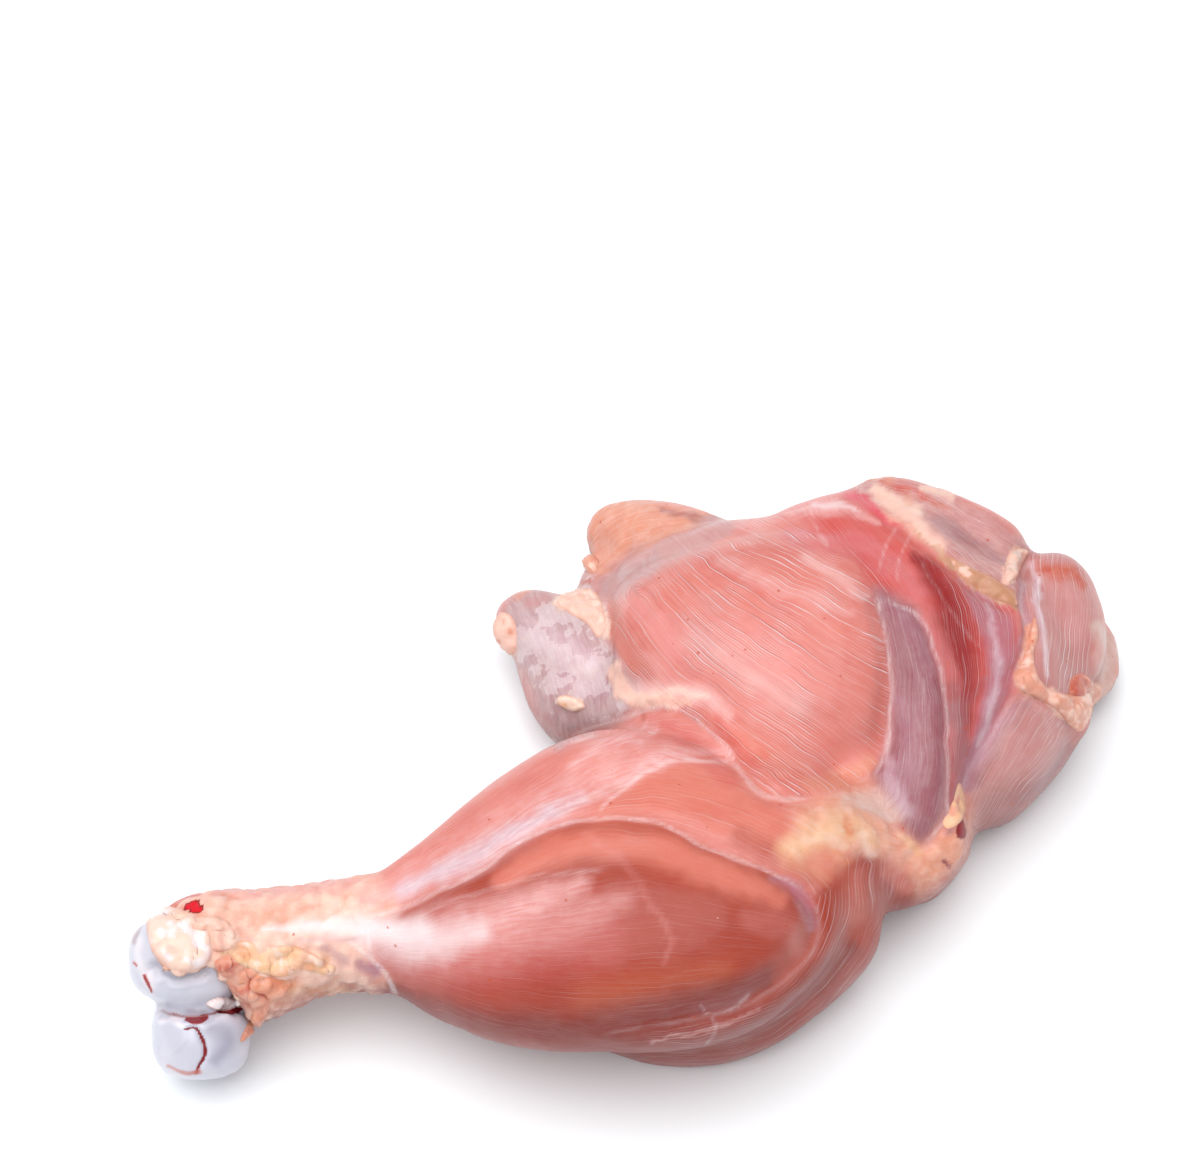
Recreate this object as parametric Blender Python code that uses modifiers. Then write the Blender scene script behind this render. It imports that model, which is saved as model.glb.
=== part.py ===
"""Raw chicken leg without its skin, lying on its inner side: drumstick and thigh as one
piece of meat, and the shin bone whose cartilage knuckle shows at the hock.

Sizes are in millimetres on the real leg, and MM turns them into Blender's metres.
+X runs from the hock towards the hip, +Y from the drumstick towards the thigh, +Z up.
"""

import math

import bmesh
import bpy
import numpy as np
from mathutils import Vector

MM = 0.001

# Driving sizes
FOOT_CENTRE = (3.7, 2.1)  # the middle of the leg's outline in the sections' frame, moved to the origin
MEAT_VOXEL = 1.3  # mesh size at which the muscles are fused
BONE_VOXEL = 0.7
MEAT_TRIANGLES = 10600
BONE_TRIANGLES = 1500
SOCKET_GAP = 0.35  # clear space between the bone and the meat
MUSCLE_RINGS = 40
MUSCLE_SPOKES = 28
SOFTENING_STEPS = 12
SEAM_DEPTH = 1.1  # how deep the seams between muscles are pressed in
SEAM_HALF_WIDTH = 1.5
SAG_HEIGHT = 5.0  # below this the meat sags towards the table
FLAT_BELOW = 0.3  # and below this it is pressed flat

# Every muscle is a spindle through cross-sections (x, y, z, half width, half height).
MUSCLES = {
    "shank": (
        (-68, -40, 18, 8.5, 8.5), (-63, -39, 17.5, 11.5, 11.5), (-55, -37, 18, 10, 10),
        (-47, -35, 18, 9.6, 9.6), (-38, -35, 18.5, 11.5, 11), (-31, -35, 19, 13.5, 13),
    ),
    "hock_cuff": (
        (-79, -34, 20.5, 3, 4), (-74, -36, 21.5, 7, 6), (-69, -38, 21, 9.5, 8.5),
        (-63, -38, 19.5, 10.5, 9),
    ),
    "hock_pad": (
        (-77, -40, 24, 3.5, 4), (-74, -43, 24.5, 5.5, 4.5), (-70, -44, 23.5, 4.5, 4),
    ),
    "hock_tendon": (
        (-66, -43, 16, 4, 5), (-63, -45, 12.5, 4.5, 6.5), (-62, -45, 9, 3, 5),
    ),
    "drum_core": (
        (-45, -35, 17, 9, 9), (-35, -36, 18, 15, 14), (-25, -36, 19, 18, 18),
        (-15, -34, 20, 21.5, 20.5), (-4, -30, 20.5, 24, 21.5), (7, -28, 20.5, 25, 22),
        (19, -26, 20, 23, 21.5), (30, -22, 19, 19, 20), (38, -18, 18, 15, 18),
        (42, -14, 17, 12, 16),
    ),
    "calf": (
        (-42, -38, 19, 5, 6), (-30, -41, 20, 11, 11.5), (-18, -43, 22, 15, 14.5),
        (-4, -42, 25, 18, 16.5), (9, -41, 26, 19, 17), (20, -38, 25, 17, 16),
        (29, -35, 23, 12, 13), (33, -32, 21, 7, 10),
    ),
    "shin": (
        (-47, -32, 21, 5, 5.5), (-33, -28, 24.5, 7, 8.5), (-18, -22, 27, 11, 12),
        (-4, -15, 27.5, 12.5, 13.5), (7, -17, 28, 12.5, 13), (16, -22, 27, 11.5, 12.5),
        (26, -25, 26, 9.5, 12), (34, -27, 24.5, 8, 10),
    ),
    "knee_band": (
        (-13, -45, 9, 4, 6), (-1, -46, 9.5, 7, 9), (11, -46, 10, 8.5, 10),
        (20, -43, 11, 9.5, 11), (28, -37, 13, 10, 13), (35, -29, 14, 11, 14),
        (39, -23, 15, 10, 14),
    ),
    "knee_pad": (
        (37, -10, 21, 9, 8.5), (42, -11, 21, 12, 10), (48, -13, 19, 11, 10),
    ),
    "knee_fat": (
        (47, -19, 13, 7, 12), (51, -14, 12, 8, 12), (55, -9, 11.5, 7, 11), (59, -4, 12, 4, 10),
    ),
    "thigh_core": (
        (-4, 32, 12, 10, 12), (5, 35, 14, 19.5, 15), (14, 33, 16, 22.5, 17),
        (23, 29, 17, 27, 18.5), (32, 27, 18, 29.5, 19.5), (40, 26, 18.5, 31.5, 20.5),
        (49, 22, 18.5, 32.5, 20.5), (58, 21, 17, 31, 19), (68, 25, 14.5, 24, 16),
        (77, 29, 12, 17.5, 12.5), (84, 32, 9, 12.5, 9.5),
    ),
    "outer_thigh": (
        (-5, 31, 12, 9, 12), (5, 29, 16, 16, 15.5), (13, 24, 20, 20.5, 17.5),
        (24, 20, 22, 26, 19.5), (34, 17, 23, 28, 20), (43, 16, 22, 25, 18.5),
        (48, 16, 20, 18, 16.5),
    ),
    "strip": (
        (48, 32, 26, 4, 6), (51, 21, 26.5, 6, 8), (52, 8, 26, 8, 9), (52, -4, 24.5, 8, 9),
        (51, -12, 21, 6, 8), (50, -15, 18, 4, 7),
    ),
    "red_vastus": (
        (46, 46, 27, 7, 8), (55, 35, 26.5, 9, 9), (59, 19, 25.5, 9.5, 9), (59, 3, 23.5, 8, 9),
        (58, -7, 19, 6, 9),
    ),
    "purple_vastus": (
        (60, 43, 23.5, 7.5, 8), (66, 31, 22, 9.5, 9), (66, 17, 20, 9.5, 10), (63, 5, 18, 9, 10),
        (59, -4, 15.5, 7, 10),
    ),
    "front_thigh": (
        (81, 19, 9.5, 6, 9), (75, 13, 11.5, 7.5, 11.5), (69, 6, 12, 8, 12),
        (63, -1, 12, 8, 11.5), (58, -7, 10, 6.5, 9.5),
    ),
    "hip_ridge": (
        (39, 54, 22, 5, 8), (48, 52, 23, 6, 9.5), (56, 49, 22.5, 6.5, 10),
        (65, 45, 20.5, 7, 10.5), (73, 43, 17, 7, 9.5),
    ),
    "hip_block": (
        (78, 47, 12, 5, 9), (79, 38, 14, 8, 11), (79, 27, 14, 8.5, 11.5), (78, 19, 12, 7, 10),
    ),
    "hip_skin": (
        (85, 43, 7.5, 2.5, 2.6), (87, 36, 7, 4.2, 2.4), (87, 28, 6.5, 4.2, 2.4),
        (84, 21, 6, 3.5, 2.6),
    ),
    "fat_flap": (
        (69, 18, 19, 3.5, 4), (73, 14, 18.5, 4.5, 4), (78, 12, 15.5, 5, 4.5),
        (82, 14, 11, 4, 5),
    ),
    "back_flap": (
        (-17, 43, 8, 6, 7), (-12, 33, 9, 9, 9), (-9, 21, 10, 9, 10), (-6, 11, 10, 8, 9.5),
    ),
    "flap_root": (
        (-7, 40, 9, 8, 9), (-2, 29, 11, 9, 11), (1, 15, 12, 9, 11), (3, 8, 12, 7, 11),
    ),
    "flap_tip": (
        (-22, 37, 6, 3.5, 5), (-19, 37, 8, 6.5, 7.5), (-12, 37, 10, 8, 9),
    ),
    "back_lobe": (
        (-6, 54, 8, 4, 6), (-2, 57, 9, 7.5, 8), (4, 55, 10, 9, 9.5), (12, 51, 12, 9, 11),
        (25, 47, 14, 8, 12),
    ),
    "crook": (
        (-3, 12, 15, 6, 10), (6, 7, 17, 8, 13), (16, -2, 20, 9, 15), (26, -9, 21, 9, 15),
        (36, -12, 20, 8, 14),
    ),
    "vastus_bed": (
        (45, 44, 20, 14, 12), (52, 30, 20, 22, 15.5), (57, 16, 18.5, 23, 16),
        (58, 2, 16, 19, 15), (57, -8, 13, 12, 13),
    ),
    "knee_bed": (
        (33, -8, 18, 12, 11), (42, -11, 17.5, 17, 14), (50, -14, 15, 14, 13.5),
        (55, -14, 12, 9, 11),
    ),
    "notch_web": (
        (-6, 52, 6.5, 3.5, 5), (-4, 46, 7.5, 5.5, 7), (-2, 41, 8.5, 6, 8), (-0, 36, 9, 6, 8),
    ),
}

# The lines along which muscles meet on the upper side, as (x, y) points.
SEAMS = {
    "calf_top": ((-41, -37), (-34, -36), (-23, -34), (-7, -28), (3, -28), (13, -32), (23, -37), (31, -39)),
    "calf_end": ((22, -36), (30, -39), (32, -43), (27, -51), (19, -57), (10, -59), (-5, -60)),
    "thigh_fold": ((-1, 6), (9, 1), (17, -9), (24, -21), (31, -21)),
    "outer_thigh_edge": ((-5, 41), (-4, 28), (-2, 18), (3, 9)),
    "strip_inner": ((43, 20), (45, 10), (45, 3), (44, -6), (41, -12)),
    "strip_outer": ((51, 18), (53, 12), (55, 4), (55, -13), (54, -19), (50, -23)),
    "front_edge": ((68, 6), (64, 0), (60, -7), (59, -10), (60, -15)),
    "ridge_edge": ((50, 37), (58, 31), (63, 26), (69, 23)),
    "block_edge": ((72, 40), (71, 22), (71, 18), (68, 8)),
    "flap_edge": ((67, 10), (68, 6), (72, 7), (75, 7), (78, 6)),
    "back_flap_edge": ((-6, 41), (-4, 24), (-2, 15), (2, 6)),
}

# How blunt a spindle's ends are: 2 is an ellipsoid, more is fuller.
MUSCLE_FULLNESS = 4.0

# The shin bone: a shaft from the hock to the knee, and the two wheels of its knuckle,
# each as centre, radius and half thickness along the knuckle's axis.
SHAFT = (
    (-70, -43, 14, 5, 5), (-60, -40, 16, 4.5, 4), (-30, -35, 19, 3.5, 3.5), (10, -31, 20, 4, 4),
    (32, -27, 20, 6.5, 6), (40, -24, 20, 7.5, 7),
)
KNUCKLE_AXIS = Vector((0.0, 0.79, 0.61))
KNUCKLE_WHEELS = (((-73.5, -39.5, 17.5), 10.3, 7.4), ((-71.5, -49.5, 9.6), 8.4, 7.6))
WHEEL_FULLNESS = 2.8


def section_at(sections, share):
    """Section at a share of the way, on a Catmull-Rom curve through the given sections."""
    points = [Vector(section) for section in sections]
    points = [points[0] * 2 - points[1], *points, points[-1] * 2 - points[-2]]
    place = min(max(share, 0.0), 1.0) * (len(sections) - 1)
    i = min(int(place), len(sections) - 2)
    u = place - i
    before, here, there, after = points[i : i + 4]
    bend = 2 * before - 5 * here + 4 * there - after
    twist = 3 * here - 3 * there + after - before
    return 0.5 * (2 * here + (there - before) * u + bend * u**2 + twist * u**3)


def add_spindle(bm, sections, fullness):
    """Adds a closed spindle: a UV sphere whose rings are laid on the sections, pole to pole."""
    ball = bmesh.ops.create_uvsphere(bm, u_segments=MUSCLE_SPOKES, v_segments=MUSCLE_RINGS, radius=1)
    step = 1e-3
    for vert in ball["verts"]:
        along = max(-1.0, min(1.0, vert.co.z))
        share = (along + 1) / 2
        section = section_at(sections, share)
        ahead = section_at(sections, min(1.0, share + step)) - section_at(sections, max(0.0, share - step))
        forward = Vector(ahead[:3]).normalized()
        sideways = Vector((0, 0, 1)).cross(forward).normalized()
        upward = forward.cross(sideways)
        ring = math.hypot(vert.co.x, vert.co.y) or 1.0
        blunt = math.sqrt(max(0.0, 1 - abs(along) ** fullness)) / ring
        width, height = section[3] * blunt, section[4] * blunt
        place = Vector(section[:3]) + sideways * (vert.co.x * width) + upward * (vert.co.y * height)
        vert.co = place * MM


def add_wheel(bm, centre, radius, half_thickness):
    """Adds a wheel with a rounded rim, its axle along the knuckle's axis."""
    middle = Vector(centre)
    reach = KNUCKLE_AXIS.normalized() * half_thickness
    tilt = KNUCKLE_AXIS.to_track_quat("Z", "Y")
    ball = bmesh.ops.create_uvsphere(bm, u_segments=MUSCLE_SPOKES, v_segments=MUSCLE_RINGS, radius=1)
    for vert in ball["verts"]:
        ring = math.hypot(vert.co.x, vert.co.y)
        full = (1 - abs(vert.co.z) ** WHEEL_FULLNESS) ** (1 / WHEEL_FULLNESS) if ring > 1e-6 else 0.0
        flat = Vector((vert.co.x, vert.co.y, 0)) * (radius * full / (ring or 1.0))
        vert.co = (middle + tilt @ flat + reach * vert.co.z) * MM


def mesh_object(name, bm, collection):
    """Object in the collection that holds the bmesh."""
    mesh = bpy.data.meshes.new(name)
    bm.to_mesh(mesh)
    bm.free()
    obj = bpy.data.objects.new(name, mesh)
    collection.objects.link(obj)
    return obj


def apply_modifiers(obj):
    """Keeps what the modifiers make as the object's own mesh."""
    graph = bpy.context.evaluated_depsgraph_get()
    made = bpy.data.meshes.new_from_object(obj.evaluated_get(graph))
    obj.modifiers.clear()
    obj.data = made


def fuse(obj, voxel):
    """Makes the overlapping spindles one skin and softens the creases between them."""
    remesh = obj.modifiers.new("fuse", "REMESH")
    remesh.mode = "VOXEL"
    remesh.voxel_size = voxel * MM
    soften = obj.modifiers.new("soften", "SMOOTH")
    soften.factor = 0.5
    soften.iterations = SOFTENING_STEPS
    apply_modifiers(obj)


def press_seams(obj):
    """Presses the seams between muscles into the upper side as soft grooves."""
    count = len(obj.data.vertices)
    places = np.empty(count * 3)
    obj.data.vertices.foreach_get("co", places)
    places = places.reshape(count, 3) / MM
    normals = np.array([vert.normal for vert in obj.data.vertices])
    nearest = np.full(count, np.inf)
    for points in SEAMS.values():
        for start, end in zip(points, points[1:]):
            start, run = np.array(start, float), np.subtract(end, start)
            share = np.clip((places[:, :2] - start) @ run / (run @ run), 0, 1)
            gap = np.linalg.norm(places[:, :2] - start - share[:, None] * run, axis=1)
            nearest = np.minimum(nearest, gap)
    facing_up = np.clip(normals[:, 2] * 2, 0, 1)
    depth = SEAM_DEPTH * facing_up * np.exp(-((nearest / SEAM_HALF_WIDTH) ** 2))
    places -= normals * depth[:, None]
    obj.data.vertices.foreach_set("co", (places * MM).ravel())
    obj.data.update()


def thin_out(obj, triangles):
    """Brings the mesh down to a number of triangles, few on the plain parts."""
    bm = bmesh.new()
    bm.from_mesh(obj.data)
    bmesh.ops.triangulate(bm, faces=bm.faces)
    share = triangles / len(bm.faces)
    bm.to_mesh(obj.data)
    bm.free()
    decimate = obj.modifiers.new("thin out", "DECIMATE")
    decimate.ratio = min(1.0, share)
    decimate.use_collapse_triangulate = True
    apply_modifiers(obj)


def sag(obj):
    """Lets the lowest part of the meat sink towards the table, so that it lies on a wide foot."""
    for vert in obj.data.vertices:
        height = max(0.0, vert.co.z / MM)
        if height < SAG_HEIGHT:
            vert.co.z = height**2 / SAG_HEIGHT * MM


def rest_on_table(obj):
    """Presses what lies under the table, or barely above it, flat onto the table."""
    for vert in obj.data.vertices:
        if vert.co.z < FLAT_BELOW * MM:
            vert.co.z = 0.0


def make_bone(collection):
    """The shin bone with its two-wheeled cartilage knuckle."""
    bm = bmesh.new()
    add_spindle(bm, SHAFT, MUSCLE_FULLNESS)
    for centre, radius, half_thickness in KNUCKLE_WHEELS:
        add_wheel(bm, centre, radius, half_thickness)
    bone = mesh_object("shin_bone", bm, collection)
    fuse(bone, BONE_VOXEL)
    thin_out(bone, BONE_TRIANGLES)
    return bone


def make_meat(collection):
    """All the muscles, fused into one piece that lies on the table."""
    bm = bmesh.new()
    for sections in MUSCLES.values():
        add_spindle(bm, sections, MUSCLE_FULLNESS)
    meat = mesh_object("meat", bm, collection)
    fuse(meat, MEAT_VOXEL)
    press_seams(meat)
    sag(meat)
    thin_out(meat, MEAT_TRIANGLES)
    rest_on_table(meat)
    return meat


def cut_socket(meat, bone, cutters):
    """Opens the meat round the bone, with a small clear gap."""
    cutter = bpy.data.objects.new("bone_socket", bone.data.copy())
    cutters.objects.link(cutter)
    cutter.hide_render = True
    cutter.display_type = "WIRE"
    grow = cutter.modifiers.new("gap", "DISPLACE")
    grow.strength = SOCKET_GAP * MM
    grow.mid_level = 0.0
    cut = meat.modifiers.new("socket", "BOOLEAN")
    cut.operation = "DIFFERENCE"
    cut.object = cutter


def centre_on_foot(objects):
    """Moves the meshes so that the origin is the middle of the footprint."""
    shift = Vector((-FOOT_CENTRE[0], -FOOT_CENTRE[1], 0.0)) * MM
    for obj in objects:
        for vert in obj.data.vertices:
            vert.co += shift


def finish(obj, name, colour, roughness):
    """Smooth shading and one material."""
    obj.data.shade_smooth()
    material = bpy.data.materials.new(name)
    material.use_nodes = True
    shader = material.node_tree.nodes["Principled BSDF"]
    shader.inputs["Base Color"].default_value = (*colour, 1.0)
    shader.inputs["Roughness"].default_value = roughness
    obj.data.materials.clear()
    obj.data.materials.append(material)


def main():
    """Clears the scene and builds the leg."""
    for obj in list(bpy.data.objects):
        bpy.data.objects.remove(obj)
    leg = bpy.data.collections.new("chicken_leg")
    cutters = bpy.data.collections.new("cutters")
    for collection in (leg, cutters):
        bpy.context.scene.collection.children.link(collection)
    bone = make_bone(leg)
    meat = make_meat(leg)
    centre_on_foot((bone, meat))
    cut_socket(meat, bone, cutters)
    finish(meat, "raw_meat", (0.62, 0.26, 0.20), 0.35)
    finish(bone, "cartilage", (0.62, 0.62, 0.68), 0.3)


main()
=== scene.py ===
"""Looks of a raw chicken leg without its skin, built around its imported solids.

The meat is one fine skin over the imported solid. It is painted and sculpted by muscles,
strokes and seams whose routes are picture pixels of the photograph's 1200 by 1163 frame:
PhotoView turns a point of the leg into its pixel. Lengths on the leg are in millimetres,
and MM turns them into Blender's metres.
"""

import logging
import math
from dataclasses import dataclass, field
from enum import Enum

import bmesh
import bpy
import numpy as np
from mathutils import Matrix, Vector, noise
from mathutils.bvhtree import BVHTree


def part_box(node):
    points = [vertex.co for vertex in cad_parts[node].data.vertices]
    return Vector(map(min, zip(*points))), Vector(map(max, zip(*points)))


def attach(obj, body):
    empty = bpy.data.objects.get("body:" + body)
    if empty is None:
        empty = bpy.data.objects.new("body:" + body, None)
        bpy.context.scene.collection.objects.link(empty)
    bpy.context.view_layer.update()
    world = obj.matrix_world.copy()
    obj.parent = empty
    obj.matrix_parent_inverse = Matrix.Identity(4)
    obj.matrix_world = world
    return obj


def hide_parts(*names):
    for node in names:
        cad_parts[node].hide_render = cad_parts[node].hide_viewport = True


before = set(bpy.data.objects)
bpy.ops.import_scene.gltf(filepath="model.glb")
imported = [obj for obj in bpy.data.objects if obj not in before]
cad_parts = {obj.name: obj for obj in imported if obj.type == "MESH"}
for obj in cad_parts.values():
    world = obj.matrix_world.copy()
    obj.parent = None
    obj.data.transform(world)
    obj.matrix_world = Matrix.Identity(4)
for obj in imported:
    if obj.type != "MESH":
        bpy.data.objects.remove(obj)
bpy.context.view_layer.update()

MM = 0.001
PIXELS_PER_MM = 5.5

# How squarely a point faces the camera, from -1 to 1, where each of these is nothing and where it is full
SCULPT_FACING = (-0.1, 0.25)
PAINT_FACING = (-0.35, -0.05)
STRAND_FACING = (0.05, 0.35)
LINE_FACING = (0.0, 0.3)

logging.basicConfig(level=logging.INFO, format="%(message)s")
log = logging.getLogger("chicken_leg")

Route = tuple[tuple[float, ...], ...]
Socket = bpy.types.NodeSocket
Mesh = bpy.types.Mesh


class Tone(Enum):
    """Colours of the leg, as red, green and blue from 0 to 255 in sRGB."""

    CORAL = (212, 114, 94)
    BRICK = (164, 58, 36)
    # The tone of the painted shade on the leg's lower side
    DEEP_CORAL = (126, 32, 14)
    SALMON = (212, 120, 108)
    PINK = (222, 142, 136)
    PALE_PINK = (232, 182, 178)
    ROSE = (206, 100, 102)
    RED = (202, 76, 68)
    DARK_RED = (142, 24, 28)
    MAGENTA = (216, 54, 78)
    MAUVE = (146, 88, 94)
    LILAC = (166, 108, 124)
    PALE_LILAC = (204, 168, 180)
    PLUM = (142, 66, 78)
    GREY_PINK = (190, 126, 122)
    GREY_LILAC = (174, 134, 136)
    PEACH = (216, 142, 114)
    SHELL = (236, 190, 172)
    CREAM = (240, 208, 190)
    PEARL = (242, 232, 234)
    YELLOW_FAT = (231, 179, 134)
    TAN_FAT = (188, 130, 88)
    ORANGE_FAT = (214, 126, 84)
    RUST = (186, 76, 48)
    BLOOD = (130, 14, 24)
    BRIGHT_BLOOD = (214, 6, 30)
    MEMBRANE = (206, 176, 164)
    CARTILAGE = (200, 199, 212)
    # The painted shade in the cartilage's hollows
    CARTILAGE_PAINTED_SHADE = (142, 138, 160)

    def linear(self) -> np.ndarray:
        """The colour in Blender's linear light."""
        return ((np.array(self.value) / 255 + 0.055) / 1.055) ** 2.4


@dataclass(frozen=True)
class PhotoView:
    """The photograph's camera as a pinhole that looks along +Y and down."""

    width: int = 1200
    height: int = 1163
    lens: float = 100.0
    sensor: float = 36.0
    elevation: float = 52.0
    place: tuple[float, float, float] = (-8.2, -336.7, 498.0)

    @property
    def focal_pixels(self) -> float:
        """Distance of the picture plane in pixels."""
        return self.lens / self.sensor * self.width

    def axes(self) -> tuple[np.ndarray, np.ndarray, np.ndarray]:
        """The camera's right, up and forward directions."""
        rise = math.radians(self.elevation)
        right = np.array((1.0, 0.0, 0.0))
        up = np.array((0.0, math.sin(rise), math.cos(rise)))
        forward = np.array((0.0, math.cos(rise), -math.sin(rise)))
        return right, up, forward

    def pixels(self, points: np.ndarray) -> np.ndarray:
        """Where points of the leg lie in the picture.

        Args:
            points: one row of x, y, z in millimetres for each point.

        Returns:
            One row of pixel x and y for each point.
        """
        right, up, forward = self.axes()
        seen = points - np.array(self.place)
        depth = seen @ forward
        across = self.width / 2 + self.focal_pixels * (seen @ right) / depth
        down = self.height / 2 - self.focal_pixels * (seen @ up) / depth
        return np.stack((across, down), axis=1)

    def ray(self, x: float, y: float) -> Vector:
        """The direction in which the camera sees a pixel."""
        right, up, forward = self.axes()
        across = (x - self.width / 2) / self.focal_pixels
        down = (y - self.height / 2) / self.focal_pixels
        return Vector(forward + right * across - up * down).normalized()

    def facing(self, points: np.ndarray, normals: np.ndarray) -> np.ndarray:
        """How squarely each point faces the camera, from -1 to 1."""
        sight = np.array(self.place) - points
        sight /= np.linalg.norm(sight, axis=1)[:, None]
        return np.einsum("ij,ij->i", sight, normals)


def ramp(values: np.ndarray, low: float, high: float) -> np.ndarray:
    """Smooth step from 0 at low to 1 at high, either way round."""
    share = np.clip((values - low) / (high - low), 0.0, 1.0)
    return share * share * (3 - 2 * share)


def smooth_route(route: Route, closed: bool = False, steps: int = 4) -> np.ndarray:
    """Catmull-Rom curve through a route.

    Args:
        route: the points, as rows of numbers of one length.
        closed: whether the last point runs back to the first.
        steps: pieces that each span is cut into.

    Returns:
        The curve's points, one a row.
    """
    points = np.array(route, float)
    if closed:
        points = np.vstack((points[-1:], points, points[:2]))
    else:
        points = np.vstack((2 * points[0] - points[1], points, 2 * points[-1] - points[-2]))
    shares = np.linspace(0, 1, steps, endpoint=False)[:, None]
    spans = []
    for before, start, end, after in zip(points, points[1:], points[2:], points[3:]):
        bend = 2 * before - 5 * start + 4 * end - after
        twist = 3 * start - 3 * end + after - before
        spans.append(0.5 * (2 * start + (end - before) * shares + bend * shares**2 + twist * shares**3))
    return np.vstack((*spans, points[-2:-1]))


@dataclass
class Nearest:
    """How some picture points lie to a curve."""

    distance: np.ndarray
    share: np.ndarray
    side: np.ndarray
    width: np.ndarray


def nearest_on(curve: np.ndarray, places: np.ndarray) -> Nearest:
    """Finds the nearest point of a curve for each place.

    Args:
        curve: rows of x, y and, where the curve has one, half width.
        places: rows of x and y.

    Returns:
        Distance, share of the way, side (positive to the right of the way) and half width.
    """
    count = len(places)
    found = Nearest(np.full(count, np.inf), np.zeros(count), np.ones(count), np.ones(count))
    lengths = np.linalg.norm(np.diff(curve[:, :2], axis=0), axis=1)
    total = max(lengths.sum(), 1e-6)
    gone = 0.0
    for start, end, length in zip(curve, curve[1:], lengths):
        run = end[:2] - start[:2]
        away = places - start[:2]
        share = np.clip(away @ run / max(run @ run, 1e-9), 0, 1)
        off = away - share[:, None] * run
        distance = np.hypot(off[:, 0], off[:, 1])
        closer = distance < found.distance
        found.distance[closer] = distance[closer]
        found.share[closer] = (gone + share[closer] * length) / total
        turn = run[0] * away[closer, 1] - run[1] * away[closer, 0]
        found.side[closer] = np.where(turn >= 0, 1.0, -1.0)
        if curve.shape[1] > 2:
            found.width[closer] = start[2] + (end[2] - start[2]) * share[closer]
        gone += length
    return found


def inside(outline: np.ndarray, places: np.ndarray) -> np.ndarray:
    """Whether each place lies inside a closed outline."""
    within = np.zeros(len(places), bool)
    for start, end in zip(outline, np.roll(outline, -1, axis=0)):
        crosses = (start[1] > places[:, 1]) != (end[1] > places[:, 1])
        drop = (end[1] - start[1]) or 1e-9
        x = start[0] + (places[:, 1] - start[1]) * (end[0] - start[0]) / drop
        within ^= crosses & (places[:, 0] < x)
    return within


def near_box(points: np.ndarray, places: np.ndarray, reach: float) -> np.ndarray:
    """Which places lie within reach of the box round some points."""
    low = points[:, :2].min(axis=0) - reach
    high = points[:, :2].max(axis=0) + reach
    return np.all((places > low) & (places < high), axis=1)


@dataclass(frozen=True)
class Muscle:
    """One muscle or cover of the leg as the photograph shows it.

    outline is closed and guides are lines along its fibres, all in picture pixels.
    fibres says how clearly white strands show, from 0 to 1.
    """

    name: str
    tone: Tone
    outline: Route
    guides: tuple[Route, ...]
    fibres: float
    fat: float = 0.0
    film: float = 0.1
    feather: float = 9.0

    @property
    def covers(self) -> tuple[float, float, float]:
        """Its shares of fat, film and blood."""
        return self.fat, self.film, 0.0

    def cover(self, places: np.ndarray) -> np.ndarray:
        """How far each place belongs to the muscle, from 0 to 1 across its soft edge."""
        outline = smooth_route(self.outline, closed=True)
        amount = np.zeros(len(places))
        near = near_box(outline, places, self.feather)
        found = nearest_on(outline, places[near])
        signed = np.where(inside(outline, places[near]), found.distance, -found.distance)
        amount[near] = ramp(signed, -self.feather, self.feather)
        return amount

    def grain(self, places: np.ndarray) -> tuple[np.ndarray, np.ndarray]:
        """Way along and across the fibres at each place, in pixels.

        Between two neighbouring guides both are blended by distance, so that the strands
        fan out and bend as the guides do.
        """
        curves = [smooth_route(guide) for guide in self.guides]
        found = [nearest_on(curve, places) for curve in curves]
        distance = np.array([each.distance for each in found]) + 1e-3
        lengths = [np.linalg.norm(np.diff(curve, axis=0), axis=1).sum() for curve in curves]
        along = np.array([each.share * length for each, length in zip(found, lengths)])
        middles = np.array([curve[len(curve) // 2] for curve in curves])
        gaps = np.linalg.norm(np.diff(middles, axis=0), axis=1)
        offsets = np.concatenate(([0.0], np.cumsum(gaps)))
        onward = [nearest_on(curve, after[None]).side[0] for curve, after in zip(curves, middles[1:])]
        onward.append(-nearest_on(curves[-1], middles[-2:-1]).side[0])
        first = np.argmin(distance, axis=0)
        picked = np.arange(len(places))
        side = np.array([each.side for each in found])[first, picked]
        step = np.where(side == np.array(onward)[first], 1, -1)
        second = np.clip(first + step, 0, len(curves) - 1)
        near, far = distance[first, picked], distance[second, picked]
        lean = near / (near + far)
        outer = second == first
        across = offsets[first] * (1 - lean) + offsets[second] * lean
        run = along[first, picked] * (1 - lean) + along[second, picked] * lean
        across = np.where(outer, offsets[first] + step * near, across)
        return np.where(outer, along[first, picked], run), across


@dataclass(frozen=True)
class Stroke:
    """A soft brush stroke through (x, y, half width) in picture pixels.

    veil says how far it hides the strands under it.
    """

    tone: Tone
    route: Route
    strength: float = 1.0
    softness: float = 0.85
    fat: float = 0.0
    film: float = 0.1
    blood: float = 0.0
    veil: float = 0.0

    @property
    def covers(self) -> tuple[float, float, float]:
        """Its shares of fat, film and blood."""
        return self.fat, self.film, self.blood

    def cover(self, places: np.ndarray) -> np.ndarray:
        """How far the stroke covers each place, from 0 to its strength."""
        curve = smooth_route(self.route)
        amount = np.zeros(len(places))
        near = near_box(curve, places, curve[:, 2].max())
        found = nearest_on(curve, places[near])
        amount[near] = self.strength * ramp(found.distance / found.width, 1.0, 1.0 - self.softness)
        return amount


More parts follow.
